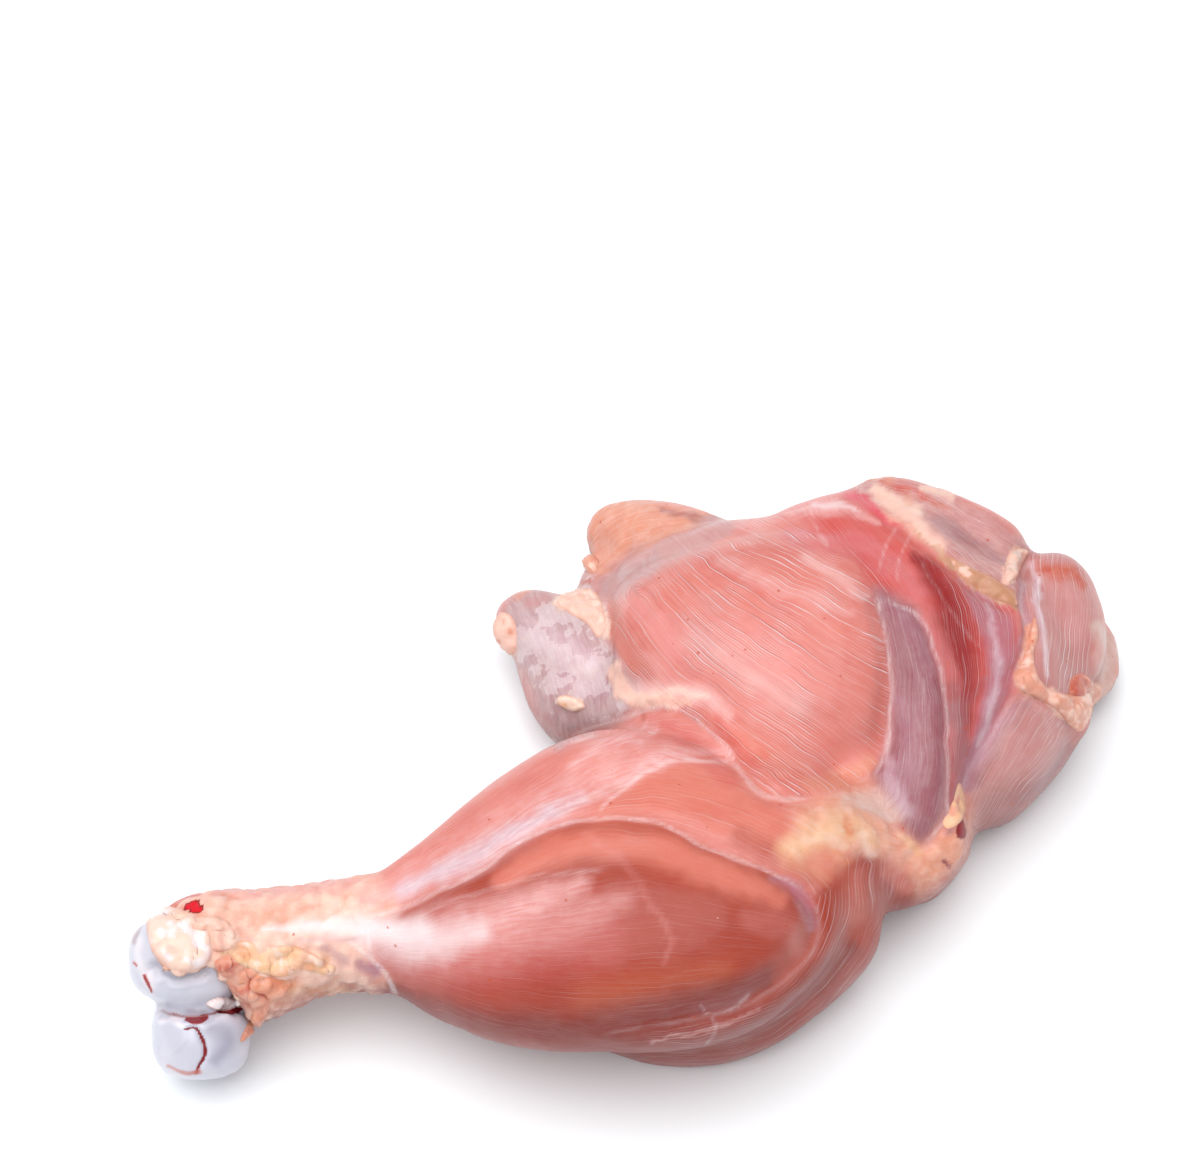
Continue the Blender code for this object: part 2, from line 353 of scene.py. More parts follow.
@dataclass(frozen=True)
class Seam:
    """A line where two muscles meet: a groove whose right side may lap over its left.

    depth and lap are millimetres on the leg. half_width, reach, line, which is half the width
    of its white fascia, and shown_reach, past which that isn't looked for, are picture pixels.
    white says how clearly the fascia shows. taper and line_taper are the shares of the way in
    which the groove and the white line fade out at each end.
    """

    route: Route
    depth: float = 0.5
    half_width: float = 7.0
    lap: float = 0.0
    reach: float = 30.0
    white: float = 0.0
    line: float = 2.0
    shown_reach: float = 30.0
    taper: float = 0.12
    line_taper: float = 0.08

    def press(self, places: np.ndarray) -> np.ndarray:
        """How far the seam moves the surface outwards at each place."""
        curve = smooth_route(self.route)
        moved = np.zeros(len(places))
        near = near_box(curve, places, 3 * self.half_width + self.reach)
        found = nearest_on(curve, places[near])
        ends = ramp(np.minimum(found.share, 1 - found.share), 0.0, self.taper)
        groove = -self.depth * np.exp(-((found.distance / self.half_width) ** 2))
        lapped = self.lap * ramp(found.distance * found.side, 0.0, self.half_width)
        moved[near] = ends * (groove + lapped * np.exp(-found.distance / self.reach))
        return moved


# Edges that neighbouring muscles, and in part the seams between them, share
CALF_TOP = ((423, 899), (489, 862), (529, 836), (586, 819), (645, 818), (678, 831), (732, 856), (771, 872))
CALF_END = ((821, 932), (795, 975), (745, 1008), (690, 1023), (640, 1034))
THIGH_TOP = ((790, 516), (845, 552), (874, 590))
STRIP_OUTER = ((918, 610), (934, 643), (945, 687))
STRIP_INNER = ((888, 647), (890, 696), (884, 750))

MUSCLES = (
    Muscle(
        "shin muscle", Tone.SALMON,
        ((345, 882), (400, 846), (450, 813), (500, 788), (550, 752), (600, 724), (640, 712), (678, 713),
         (704, 730), (745, 773), (771, 794), (811, 799), (846, 836), (848, 880), (818, 899),
         *CALF_TOP[::-1],
         (380, 912)),
        (((350, 872), (450, 806), (550, 742), (640, 704)),
          ((360, 890), (480, 820), (560, 768), (640, 728), (700, 735)),
         ((370, 905), (480, 850), (560, 803), (650, 775), (740, 792), (820, 830)),
         ((400, 915), (500, 868), (600, 832), (690, 846), (790, 892))),
        fibres=0.2, film=0.25,
    ),
    Muscle(
        "calf", Tone.BRICK,
        ((372, 920), *CALF_TOP, (811, 899), *CALF_END, (560, 1044), (480, 1034), (420, 1012), (388, 990),
         (370, 955)),
        (((385, 918), (500, 868), (600, 826), (700, 848), (795, 895)),
          ((385, 932), (520, 908), (640, 885), (740, 905), (818, 925)),
         ((390, 955), (520, 965), (640, 968), (740, 962), (805, 955)),
          ((395, 985), (500, 1022), (620, 1038), (720, 1018), (790, 978))),
        fibres=0.09, film=0.05,
    ),
    Muscle(
        "knee band", Tone.BRICK,
        ((832, 862), (868, 846), (905, 872), (925, 895), (872, 960), (820, 1018), (760, 1055), (690, 1066),
         (620, 1058), (560, 1048), (560, 1040), *CALF_END[::-1], (814, 899)),
        (((838, 870), (832, 930), (800, 985), (745, 1016), (660, 1034), (570, 1044)),
         ((868, 866), (862, 935), (815, 1000), (750, 1040), (670, 1050), (570, 1050)),
         ((905, 880), (880, 945), (830, 1010), (765, 1056), (690, 1068), (570, 1056))),
        fibres=0.32, film=0.05,
    ),
    Muscle(
        "outer thigh", Tone.SALMON,
        ((598, 600), (640, 552), (690, 524), (740, 512), *THIGH_TOP, *STRIP_INNER, (866, 782), (811, 799),
         (771, 794), (745, 773), (725, 750), (698, 726), (672, 708), (640, 694), (618, 664), (604, 636)),
        (((745, 500), (800, 530), (850, 558), (900, 586)), ((700, 528), (760, 560), (825, 592), (884, 625)),
         ((664, 560), (712, 606), (770, 646), (825, 684), (886, 725)),
          ((640, 596), (686, 652), (745, 698), (800, 735), (856, 775)),
         ((606, 625), (640, 672), (700, 722), (750, 765), (800, 800))),
        fibres=1.0, film=0.12,
    ),
    Muscle(
        "top of the thigh", Tone.RED,
        ((740, 512), (786, 492), (830, 480), (872, 486), (905, 528), (951, 560), (985, 590), (1015, 608),
         (1024, 650),
         (1016, 692), (998, 725), (973, 767), (965, 810), (949, 800), (950, 750),
         *STRIP_OUTER[::-1], *THIGH_TOP[::-1]),
        (((800, 480), (850, 540), (895, 590), (925, 640)),
          ((870, 490), (925, 555), (948, 640), (955, 740), (950, 820)),
         ((915, 515), (965, 580), (982, 650), (975, 740), (955, 820)),
          ((955, 545), (1005, 600), (1012, 660), (990, 735), (965, 800)),
         ((1000, 575), (1030, 620), (1028, 680), (1005, 730))),
        fibres=0.35,
    ),
    Muscle(
        "long strip", Tone.PLUM,
        ((874, 590), (900, 596), *STRIP_OUTER, (949, 794), (940, 824), (921, 846), (903, 832),
         (880, 806), (868, 780),
         *STRIP_INNER[::-1]),
        (((878, 590), (890, 650), (892, 720), (885, 790)), ((905, 600), (925, 660), (930, 740), (918, 835)),
         ((920, 610), (946, 690), (950, 770), (930, 840))),
        fibres=0.25, film=0.3,
    ),
    Muscle(
        "front of the thigh", Tone.GREY_PINK,
        ((1019, 694), (1038, 698), (1055, 709), (1080, 732), (1064, 764), (1034, 797), (1004, 827),
         (978, 846),
         (962, 850), (967, 800), (973, 767), (998, 725)),
        (((1016, 690), (990, 735), (966, 790), (958, 840)), ((1045, 700), (1010, 755), (975, 815)),
         ((1088, 722), (1045, 775), (988, 840))),
        fibres=0.7, film=0.2,
    ),
    Muscle(
        "hip ridge", Tone.GREY_PINK,
        ((836, 480), (870, 470), (905, 480), (940, 486), (976, 508), (1020, 536), (1052, 548),
         (1026, 562), (1020, 604),
         (985, 588), (951, 557), (905, 528), (872, 500)),
        (((850, 478), (920, 496), (980, 530), (1030, 560)),
          ((870, 500), (930, 540), (985, 585), (1015, 605))),
        fibres=0.35, film=0.3, fat=0.2,
    ),
    Muscle(
        "hip end", Tone.GREY_PINK,
        ((1022, 560), (1050, 546), (1085, 560), (1100, 612), (1096, 655), (1090, 700), (1070, 731),
         (1055, 707),
         (1038, 696), (1014, 680), (1028, 638), (1026, 600)),
        (((1022, 555), (1032, 620), (1028, 690)), ((1054, 550), (1060, 620), (1050, 700)),
          ((1086, 560), (1098, 620), (1084, 720))),
        fibres=0.6, film=0.15,
    ),
    Muscle(
        "back lobe", Tone.PEACH,
        ((583, 560), (587, 526), (597, 508), (613, 498), (646, 498), (684, 508), (740, 504), (700, 522),
         (650, 546), (604, 584)),
        (((590, 560), (620, 530), (680, 515), (740, 508)), ((600, 580), (650, 548), (700, 524))),
        fibres=0.15, film=0.3, fat=0.25,
    ),
    Muscle(
        "back flap", Tone.GREY_LILAC,
        ((592, 572), (568, 579), (538, 582), (514, 590), (496, 622), (488, 636), (496, 658), (516, 668),
         (528, 690),
         (542, 726), (556, 752), (572, 740), (604, 722), (640, 700), (618, 664), (604, 636), (598, 600)),
        (((510, 600), (540, 660), (560, 740)), ((560, 585), (585, 650), (600, 720)),
          ((596, 590), (612, 650), (636, 700))),
        fibres=0.0, film=0.5, fat=0.1,
    ),
    Muscle(
        "knee", Tone.PEACH,
        ((790, 812), (820, 800), (868, 780), (890, 812), (905, 835), (923, 846), (944, 826), (966, 800),
         (972, 846),
         (975, 850), (960, 865), (925, 900), (905, 874), (868, 850), (836, 868), (806, 862)),
        (((800, 820), (850, 815), (900, 840)), ((840, 862), (900, 860), (960, 850))),
        fibres=0.0, fat=0.4, film=0.3, feather=14.0,
    ),
    Muscle(
        "shank", Tone.SHELL,
        ((118, 970), (128, 925), (160, 896), (250, 882), (345, 876), (378, 880), (396, 908), (372, 930),
         (372, 960),
         (388, 992), (360, 1000), (300, 1004), (262, 1030), (236, 1050), (196, 1018), (140, 1006)),
        (((400, 895), (300, 898), (160, 905)), ((400, 935), (300, 940), (160, 950)),
          ((395, 985), (320, 985), (240, 1010))),
        fibres=0.1, fat=0.8, film=0.15, feather=12.0,
    ),
)


STROKES = (
    # The shin's upper muscle
    Stroke(Tone.CORAL, ((600, 800, 40), (680, 790, 55), (760, 820, 48), (820, 860, 36)), 0.8, film=0.05),
    Stroke(Tone.RED, ((610, 742, 14), (660, 728, 18), (700, 752, 18), (730, 780, 14)), 0.45),
    Stroke(Tone.PINK, ((370, 898, 22), (460, 860, 30), (540, 815, 34), (610, 775, 28), (670, 750, 16)),
           0.6, 1.0, film=0.6),
    Stroke(Tone.PALE_LILAC, ((400, 892, 14), (470, 856, 18), (520, 828, 16), (580, 798, 10)),
           0.85, 1.0, film=0.9),
    Stroke(Tone.PINK, ((560, 806, 10), (600, 790, 12), (640, 770, 14), (690, 752, 12), (735, 750, 8)),
           0.5, 1.0, film=0.9),
    Stroke(Tone.PINK, ((575, 765, 12), (610, 744, 16), (650, 730, 12)), 0.6, 1.0, film=0.9),
    Stroke(Tone.SALMON, ((380, 866, 12), (450, 822, 14), (520, 783, 14), (580, 740, 12)), 0.7),
    Stroke(Tone.BRICK, ((740, 840, 22), (790, 862, 20), (812, 880, 12)), 0.55),
    Stroke(Tone.RUST, ((640, 712, 4), (641, 722, 4)), 0.6),
    # The calf
    Stroke(Tone.CORAL, ((500, 880, 16), (560, 850, 24), (640, 846, 28), (720, 872, 26), (780, 900, 16)),
           0.85, film=0.1),
    Stroke(Tone.ROSE, ((430, 965, 40), (520, 955, 52), (600, 940, 46)), 0.3, film=0.15),
    Stroke(Tone.PINK, ((380, 960, 36), (450, 950, 48), (530, 930, 46), (620, 900, 26)),
           0.45, 1.0, film=0.5),
    Stroke(Tone.PINK, ((380, 936, 30), (430, 932, 40), (500, 915, 34), (580, 885, 18)),
           0.65, 1.0, film=0.7),
    # White film at the calf's left end, brightened with a painted highlight
    Stroke(Tone.PEARL, ((366, 936, 22), (396, 942, 34), (430, 944, 32), (480, 930, 20)),
           0.5, 1.0, film=1.0),
    Stroke(Tone.PINK, ((586, 836, 6), (619, 859, 7), (652, 906, 7), (672, 939, 6), (662, 965, 4)),
           0.18, 1.0, film=0.2),
    Stroke(Tone.ORANGE_FAT, ((590, 1000, 30), (650, 990, 36), (720, 975, 28)), 0.2, 1.0),
    # Painted shade along the calf's lower side
    Stroke(Tone.DEEP_CORAL, ((390, 990, 12), (440, 1015, 22), (520, 1030, 34), (620, 1030, 40),
           (700, 1008, 38), (765, 980, 24)),
           0.95, 1.0),
    Stroke(Tone.PINK, ((750, 920, 20), (785, 925, 26), (800, 950, 16)), 0.25, 1.0),
    Stroke(Tone.MAGENTA, ((786, 884, 7), (800, 893, 9), (812, 905, 7)), 0.45),
    Stroke(Tone.LILAC, ((775, 880, 8), (800, 892, 12), (816, 925, 9)), 0.6, film=0.15),
    Stroke(Tone.MAUVE, ((700, 1012, 10), (730, 1004, 12), (752, 992, 8)), 0.3),
    Stroke(Tone.LILAC, ((360, 965, 9), (374, 972, 11)), 0.85, film=0.15),
    # The knee band
    # Painted shade along the knee band's lower side
    Stroke(Tone.DEEP_CORAL, ((600, 1046, 14), (660, 1054, 24), (730, 1046, 30), (800, 1000, 26),
           (850, 950, 16)), 0.85, 1.0),
    Stroke(Tone.CORAL, ((858, 880, 18), (855, 915, 18)), 0.35),
    Stroke(Tone.PALE_PINK, ((650, 1042, 2), (712, 1030, 3), (760, 1008, 2)), 0.3, film=0.3),
    # The knee's fat and its white cap
    Stroke(Tone.YELLOW_FAT, ((792, 848, 22), (820, 834, 32), (850, 828, 30), (872, 842, 20)),
           0.9, 1.0, fat=0.35, film=0.3),
    Stroke(Tone.CREAM, ((806, 840, 8), (830, 838, 10), (842, 846, 8)), 0.35, 1.0, fat=0.3, film=0.4),
    Stroke(Tone.PEACH, ((790, 862, 16), (820, 872, 20)), 0.6, 1.0, fat=0.3),
    Stroke(Tone.ORANGE_FAT, ((846, 818, 5), (852, 832, 7)), 0.85, fat=0.5),
    Stroke(Tone.ORANGE_FAT, ((838, 852, 4), (848, 862, 5)), 0.5, fat=0.4),
    Stroke(Tone.MEMBRANE, ((846, 802, 14), (872, 800, 20), (896, 814, 14)), 0.55, 0.9, film=0.4),
    Stroke(Tone.MEMBRANE, ((862, 806, 8), (878, 810, 10), (890, 820, 7)), 0.5, 1.0, film=0.4),
    Stroke(Tone.CREAM, ((862, 838, 8), (872, 856, 8)), 0.6, 1.0, fat=0.3, film=0.3),
    Stroke(Tone.PEACH, ((925, 868, 20), (950, 852, 18), (962, 820, 8)), 0.7, fat=0.5),
    Stroke(Tone.SALMON, ((890, 870, 14), (905, 888, 12)), 0.5, fat=0.3),
    Stroke(Tone.YELLOW_FAT, ((900, 836, 7), (918, 852, 8)), 0.6, fat=0.6),
    Stroke(Tone.RUST, ((962, 806, 6), (964, 820, 5)), 0.5, fat=0.3),
    # The outer thigh
    Stroke(Tone.GREY_PINK, ((606, 586, 20), (640, 564, 26), (690, 540, 20), (740, 518, 12)),
           0.95, 0.6, film=0.3, veil=0.9),
    Stroke(Tone.GREY_LILAC, ((604, 586, 12), (620, 576, 16), (655, 560, 12)), 0.6, film=0.3, veil=0.9),
    Stroke(Tone.PINK, ((632, 606, 16), (655, 622, 22), (672, 650, 16)), 0.75, film=0.1, veil=0.9),
    Stroke(Tone.PINK, ((650, 660, 14), (670, 672, 14), (700, 690, 10)), 0.6, film=0.2, veil=0.8),
    Stroke(Tone.CORAL, ((608, 622, 10), (622, 645, 16), (636, 664, 13)), 0.7, veil=0.9),
    Stroke(Tone.RED, ((700, 560, 16), (740, 575, 18), (790, 600, 14)), 0.25),
    Stroke(Tone.PINK, ((690, 640, 40), (740, 650, 52), (800, 680, 46)), 0.5, film=0.1),
    Stroke(Tone.PALE_PINK, ((690, 640, 22), (740, 672, 28), (800, 706, 22)), 0.45, 1.0, film=0.15),
    Stroke(Tone.PALE_PINK, ((720, 560, 12), (790, 590, 14), (850, 612, 10)), 0.35, 1.0, film=0.15),
    Stroke(Tone.PALE_PINK, ((625, 690, 12), (660, 690, 18), (700, 696, 16), (730, 716, 8)),
           0.6, 1.0, film=0.3, veil=0.9),
    Stroke(Tone.CREAM, ((618, 696, 6), (645, 697, 9), (680, 691, 8), (705, 698, 4)),
           0.7, 1.0, film=0.3, fat=0.2),
    Stroke(Tone.CORAL, ((735, 740, 20), (770, 760, 22), (805, 776, 18)), 0.7),
    Stroke(Tone.RED, ((716, 722, 8), (736, 744, 12), (756, 766, 9)), 0.4),
    Stroke(Tone.SALMON, ((838, 655, 44), (852, 710, 50), (836, 750, 46)), 0.8, 1.0, film=0.15, veil=1.0),
    Stroke(Tone.PEACH, ((810, 785, 12), (840, 780, 16), (868, 762, 12)), 0.65, film=0.1),
    Stroke(Tone.PALE_PINK, ((806, 560, 8), (835, 575, 10), (866, 596, 8)), 0.5, film=0.2),
    # The top of the thigh
    Stroke(Tone.PINK, ((740, 520, 16), (790, 505, 22), (830, 496, 20)), 0.7, film=0.2),
    Stroke(Tone.ROSE, ((790, 535, 14), (830, 540, 22), (880, 552, 24), (915, 590, 18)), 0.75),
    Stroke(Tone.RED, ((812, 530, 6), (850, 527, 8), (888, 540, 8), (905, 552, 6)), 0.8),
    # Painted highlight: a pale glare across the top of the thigh
    Stroke(Tone.PALE_PINK, ((790, 512, 6), (826, 507, 11), (856, 511, 10), (876, 520, 5)),
           0.5, 1.0, film=0.3),
    Stroke(Tone.PEARL, ((812, 505, 4), (836, 504, 6), (856, 510, 4)), 0.45, 1.0, film=0.3),
    Stroke(Tone.MAGENTA, ((850, 494, 6), (866, 500, 8), (882, 513, 7), (900, 525, 4)), 0.9),
    Stroke(Tone.PALE_PINK, ((856, 486, 4), (872, 494, 5), (886, 506, 3)), 0.5, film=0.3),
    Stroke(Tone.ROSE, ((872, 568, 9), (882, 576, 9)), 0.5),
    Stroke(Tone.DARK_RED, ((916, 556, 12), (938, 580, 30), (954, 618, 40), (962, 668, 36),
           (962, 715, 24)), 0.95, 1.0, film=0.0),
    Stroke(Tone.ROSE, ((925, 620, 9), (942, 650, 12), (955, 690, 12)), 0.4),
    Stroke(Tone.DARK_RED, ((954, 690, 14), (960, 725, 18), (957, 765, 14)), 0.75, 1.0),
    Stroke(Tone.MAUVE, ((952, 710, 14), (960, 750, 17), (954, 795, 15), (950, 830, 10)), 0.75, 1.0),
    Stroke(Tone.MAUVE, ((955, 730, 7), (972, 700, 9), (985, 680, 6)), 0.3),
    Stroke(Tone.LILAC, ((962, 575, 4), (978, 610, 8), (992, 645, 11), (992, 690, 12), (980, 735, 11),
           (966, 780, 7)),
           0.6, film=0.2),
    Stroke(Tone.LILAC, ((980, 590, 14), (1005, 640, 20), (1000, 690, 20), (984, 740, 17),
           (966, 785, 10)), 0.7, film=0.15),
    # Painted highlight: pale glinting streaks down the lilac front, laid as film
    Stroke(Tone.PALE_LILAC, ((986, 600, 4), (998, 650, 6), (994, 700, 6), (980, 745, 5)),
           0.5, 1.0, film=0.8),
    # The long strip
    Stroke(Tone.PLUM, ((888, 610, 10), (900, 650, 18), (905, 700, 18)), 0.5, film=0.1),
    Stroke(Tone.LILAC, ((884, 600, 6), (910, 622, 12), (928, 655, 12), (936, 700, 9)), 0.4, 1.0, film=0.2),
    Stroke(Tone.LILAC, ((900, 700, 16), (906, 745, 22), (898, 790, 22)), 0.5, 1.0, film=0.2),
    Stroke(Tone.PALE_LILAC, ((888, 758, 9), (890, 782, 14), (906, 808, 12)), 0.5, 1.0, film=0.5),
    Stroke(Tone.PLUM, ((935, 680, 9), (940, 750, 11), (928, 812, 10)), 0.6, 1.0),
    # The hip ridge
    Stroke(Tone.PEACH, ((838, 478, 6), (866, 474, 9), (890, 478, 8)), 0.7, fat=0.4),
    Stroke(Tone.CREAM, ((872, 488, 8), (896, 500, 13), (918, 510, 9)), 0.8, fat=0.5, film=0.2),
    Stroke(Tone.SHELL, ((880, 496, 12), (904, 514, 14), (926, 532, 10), (944, 547, 7)), 0.85, 0.9, fat=0.3),
    Stroke(Tone.PEACH, ((884, 512, 5), (908, 528, 6), (925, 538, 4)), 0.6, fat=0.5),
    Stroke(Tone.CREAM, ((920, 490, 6), (938, 490, 8), (950, 496, 6)), 0.7, fat=0.4),
    Stroke(Tone.RUST, ((880, 480, 4), (894, 485, 6), (906, 490, 5)), 0.55, fat=0.4),
    Stroke(Tone.RUST, ((918, 494, 4), (930, 500, 5), (946, 508, 4)), 0.6, fat=0.4),
    Stroke(Tone.RED, ((898, 484, 3), (912, 490, 4), (924, 499, 4)), 0.6),
    Stroke(Tone.MAUVE, ((935, 520, 10), (965, 538, 14), (1005, 562, 10)), 0.6, film=0.3),
    Stroke(Tone.GREY_PINK, ((960, 505, 9), (995, 528, 11), (1020, 545, 8)), 0.6, film=0.3),
    Stroke(Tone.TAN_FAT, ((952, 560, 3), (968, 571, 7), (990, 585, 10), (1008, 597, 9), (1016, 606, 4)),
           0.95, 0.35, fat=0.5),
    Stroke(Tone.TAN_FAT, ((915, 530, 2), (935, 545, 3), (955, 562, 4)), 0.8, 0.4, fat=0.4),
    Stroke(Tone.SHELL, ((1018, 552, 7), (1012, 566, 7), (1008, 580, 6)), 0.95, 0.4, fat=0.7),
    # The hip end
    Stroke(Tone.RUST, ((1042, 566, 9), (1056, 570, 15), (1074, 572, 13), (1084, 584, 8)),
           0.95, 1.0, fat=0.2),
    Stroke(Tone.LILAC, ((1022, 580, 6), (1026, 620, 7), (1022, 655, 6)), 0.7, film=0.4),
    Stroke(Tone.PALE_LILAC, ((1034, 566, 4), (1038, 600, 6), (1042, 640, 5), (1046, 675, 4)),
           0.7, film=0.7),
    Stroke(Tone.PEACH, ((1030, 625, 4), (1028, 650, 6), (1022, 672, 9), (1030, 686, 8), (1044, 694, 7)),
           0.9, 0.4, fat=0.7),
    Stroke(Tone.SHELL, ((1048, 694, 8), (1066, 708, 12), (1082, 720, 9)), 0.9, 0.35, fat=0.6),
    Stroke(Tone.SHELL, ((1092, 690, 6), (1088, 706, 9), (1080, 722, 7)), 0.9, 0.35, fat=0.6),
    Stroke(Tone.RUST, ((1072, 692, 5), (1082, 685, 8), (1084, 700, 8), (1080, 708, 4)), 0.85, fat=0.3),
    Stroke(Tone.MEMBRANE, ((1098, 626, 9), (1112, 648, 18), (1110, 672, 18), (1104, 696, 14)),
           0.75, 1.0, film=0.4, veil=0.9),
    # The front of the thigh
    Stroke(Tone.LILAC, ((1018, 702, 4), (1000, 728, 9), (984, 756, 9), (970, 790, 7)), 0.6, film=0.25),
    Stroke(Tone.MAUVE, ((1030, 700, 10), (1004, 736, 10), (980, 780, 8)), 0.5, film=0.3),
    Stroke(Tone.MAUVE, ((1072, 748, 7), (1040, 786, 8), (1000, 824, 7), (975, 846, 5)), 0.5),
    # The back lobe and the back flap
    Stroke(Tone.ORANGE_FAT, ((586, 550, 4), (590, 528, 6), (604, 510, 6), (624, 502, 4)), 0.45, fat=0.3),
    Stroke(Tone.MAUVE, ((660, 508, 4), (700, 516, 6), (740, 510, 5), (780, 497, 4)), 0.55, film=0.2),
    Stroke(Tone.PALE_LILAC, ((530, 632, 18), (560, 640, 22), (590, 660, 16)), 0.55, film=0.7),
    Stroke(Tone.LILAC, ((560, 680, 18), (596, 690, 18), (604, 672, 10)), 0.45, film=0.7),
    Stroke(Tone.GREY_PINK, ((528, 604, 9), (560, 590, 9), (590, 578, 8)), 0.6, film=0.4),
    Stroke(Tone.GREY_PINK, ((544, 715, 8), (560, 735, 8), (585, 728, 6)), 0.5, film=0.4),
    Stroke(Tone.CREAM, ((560, 602, 10), (584, 600, 13), (600, 620, 10), (604, 634, 5)), 0.85, 0.5, fat=0.7),
    Stroke(Tone.RUST, ((570, 590, 3), (578, 584, 5), (588, 580, 3)), 0.7),
    Stroke(Tone.CREAM, ((500, 622, 10), (502, 638, 12), (510, 650, 8)), 0.85, fat=0.4),
    Stroke(Tone.PEACH, ((497, 650, 5), (510, 658, 6)), 0.6, fat=0.3),
    Stroke(Tone.PEACH, ((516, 598, 6), (532, 588, 6)), 0.6, fat=0.3),
    Stroke(Tone.CREAM, ((558, 700, 4), (570, 704, 7), (580, 702, 5)), 0.95, 0.4, fat=0.7),
    Stroke(Tone.SHELL, ((612, 664, 7), (618, 684, 9), (630, 700, 10), (655, 702, 9), (688, 702, 5)),
           0.85, 0.5, fat=0.6),
    # The shank, its fat, its tendon and its blood
    Stroke(Tone.PINK, ((215, 890, 12), (280, 888, 15), (350, 882, 14)), 0.7, fat=0.4),
    Stroke(Tone.PEACH, ((160, 905, 8), (200, 916, 14), (240, 920, 20), (300, 912, 16)), 0.55, fat=0.8),
    Stroke(Tone.RED, ((215, 940, 7), (232, 930, 6), (250, 938, 5)), 0.35, fat=0.7),
    Stroke(Tone.YELLOW_FAT, ((225, 952, 12), (270, 958, 16), (320, 966, 12)), 0.75, fat=1.0),
    Stroke(Tone.CREAM, ((165, 945, 16), (190, 952, 16), (205, 962, 10)), 0.9, fat=0.5),
    Stroke(Tone.ORANGE_FAT, ((235, 985, 12), (262, 990, 16), (290, 986, 12)), 0.85, fat=0.8),
    Stroke(Tone.RUST, ((245, 1000, 7), (262, 1006, 8), (285, 996, 7)), 0.75, fat=0.6),
    Stroke(Tone.LILAC, ((322, 950, 8), (342, 960, 9)), 0.5, fat=0.2, film=0.4),
    Stroke(Tone.TAN_FAT, ((256, 998, 14), (306, 990, 13), (345, 990, 12)), 0.6, 1.0, fat=0.6),
    Stroke(Tone.PEARL, ((262, 928, 4), (300, 926, 10), (340, 926, 14), (375, 930, 20), (420, 930, 22)),
           0.7, 1.0, film=0.8),
    Stroke(Tone.PALE_LILAC, ((300, 940, 5), (330, 938, 7), (356, 940, 7)), 0.4, film=0.4),
    Stroke(Tone.ROSE, ((182, 908, 9), (200, 906, 10)), 0.4, 1.0, fat=0.3),
    Stroke(Tone.BRIGHT_BLOOD, ((188, 907, 5), (198, 906, 6)), 1.0, 0.1, blood=1.0),
    Stroke(Tone.RED, ((158, 906, 4), (178, 898, 4), (200, 893, 3)), 0.8, 0.6, blood=0.35),
    Stroke(Tone.BLOOD, ((960, 822, 5), (963, 832, 6)), 1.0, 0.6, blood=0.75),
    Stroke(Tone.BLOOD, ((944, 862, 3), (949, 868, 3)), 0.8, 0.6, blood=0.5),
)


SEAMS = (
    # Round the calf
    Seam(((345, 925), *CALF_TOP, (815, 896)), depth=0.35, lap=0.35, white=0.55, line=1.6),
    Seam(((775, 874), (811, 897), (822, 932), (798, 973), (745, 1007), (690, 1022), (596, 1036)),
         depth=0.45, lap=-0.5,
         white=0.2, line=1.2),
    Seam(((596, 814), (612, 796), (645, 773), (678, 760), (735, 758)), depth=0.12, white=0.5, line=1.8),
    Seam(((344, 938), (378, 967), (398, 1000)), depth=0.15, white=0.8, line=1.6),
    Seam(((400, 925), (470, 896), (540, 876), (610, 870)), depth=0.0, white=0.22, line=2.0),
    # Where the thigh lies over the shin
    Seam(((560, 744), (622, 718), (672, 706), (698, 722), (725, 748), (745, 773), (771, 794),
         (815, 800)), depth=0.6,
         lap=-0.5, white=0.6, line=1.6),
    # Round the outer thigh
    Seam(((600, 592), (604, 636), (618, 662), (642, 694)), depth=0.45, lap=-0.5, white=0.15),
    Seam(((876, 590), (888, 647), (891, 696), (886, 750), (872, 778)),
         depth=0.3, lap=0.0, white=0.6, line=1.5),
    Seam(((880, 596), (915, 612), (934, 643), (944, 687), (949, 794), (940, 826), (920, 848)),
         depth=0.4, lap=0.25,
         white=0.6, line=1.3),
    Seam(((870, 784), (884, 808), (903, 838), (915, 846)), depth=0.4, lap=0.2, white=0.15),
    # The front of the thigh and the hip
    Seam(((1019, 690), (998, 725), (973, 767), (965, 800), (962, 820)),
         depth=0.7, lap=-0.3, white=0.3, line=1.3),
    Seam(((872, 506), (900, 522), (951, 560), (985, 592), (1017, 608)), depth=0.6, lap=-0.5, white=0.15),
    Seam(((1024, 552), (1022, 600), (1028, 638), (1016, 676)), depth=0.6, lap=0.35, white=0.15),
    Seam(((1018, 690), (1038, 700), (1055, 714), (1068, 733)), depth=0.5, lap=-0.7, white=0.1),
    Seam(((740, 505), (700, 521), (650, 546), (602, 584)), depth=0.35, lap=-0.5, white=0.1),
    # Veins of fascia
    Seam(((700, 1005), (712, 1016), (735, 1008), (752, 994)), depth=0.05, white=0.5, line=1.0),
    Seam(((712, 1016), (716, 1030), (706, 1044)), depth=0.05, white=0.4, line=1.0),
    Seam(((912, 526), (900, 560), (896, 584)), depth=0.0, white=0.35, line=1.0),
    Seam(((896, 522), (884, 548), (878, 575)), depth=0.0, white=0.35, line=1.0),
    Seam(((812, 508), (816, 530), (830, 545)), depth=0.0, white=0.3, line=1.0),
    Seam(((920, 556), (944, 600), (966, 630), (984, 650)), depth=0.0, white=0.2, line=1.0),
    Seam(((1040, 562), (1038, 600), (1046, 640), (1044, 684)), depth=0.12, white=0.55, line=1.4),
)


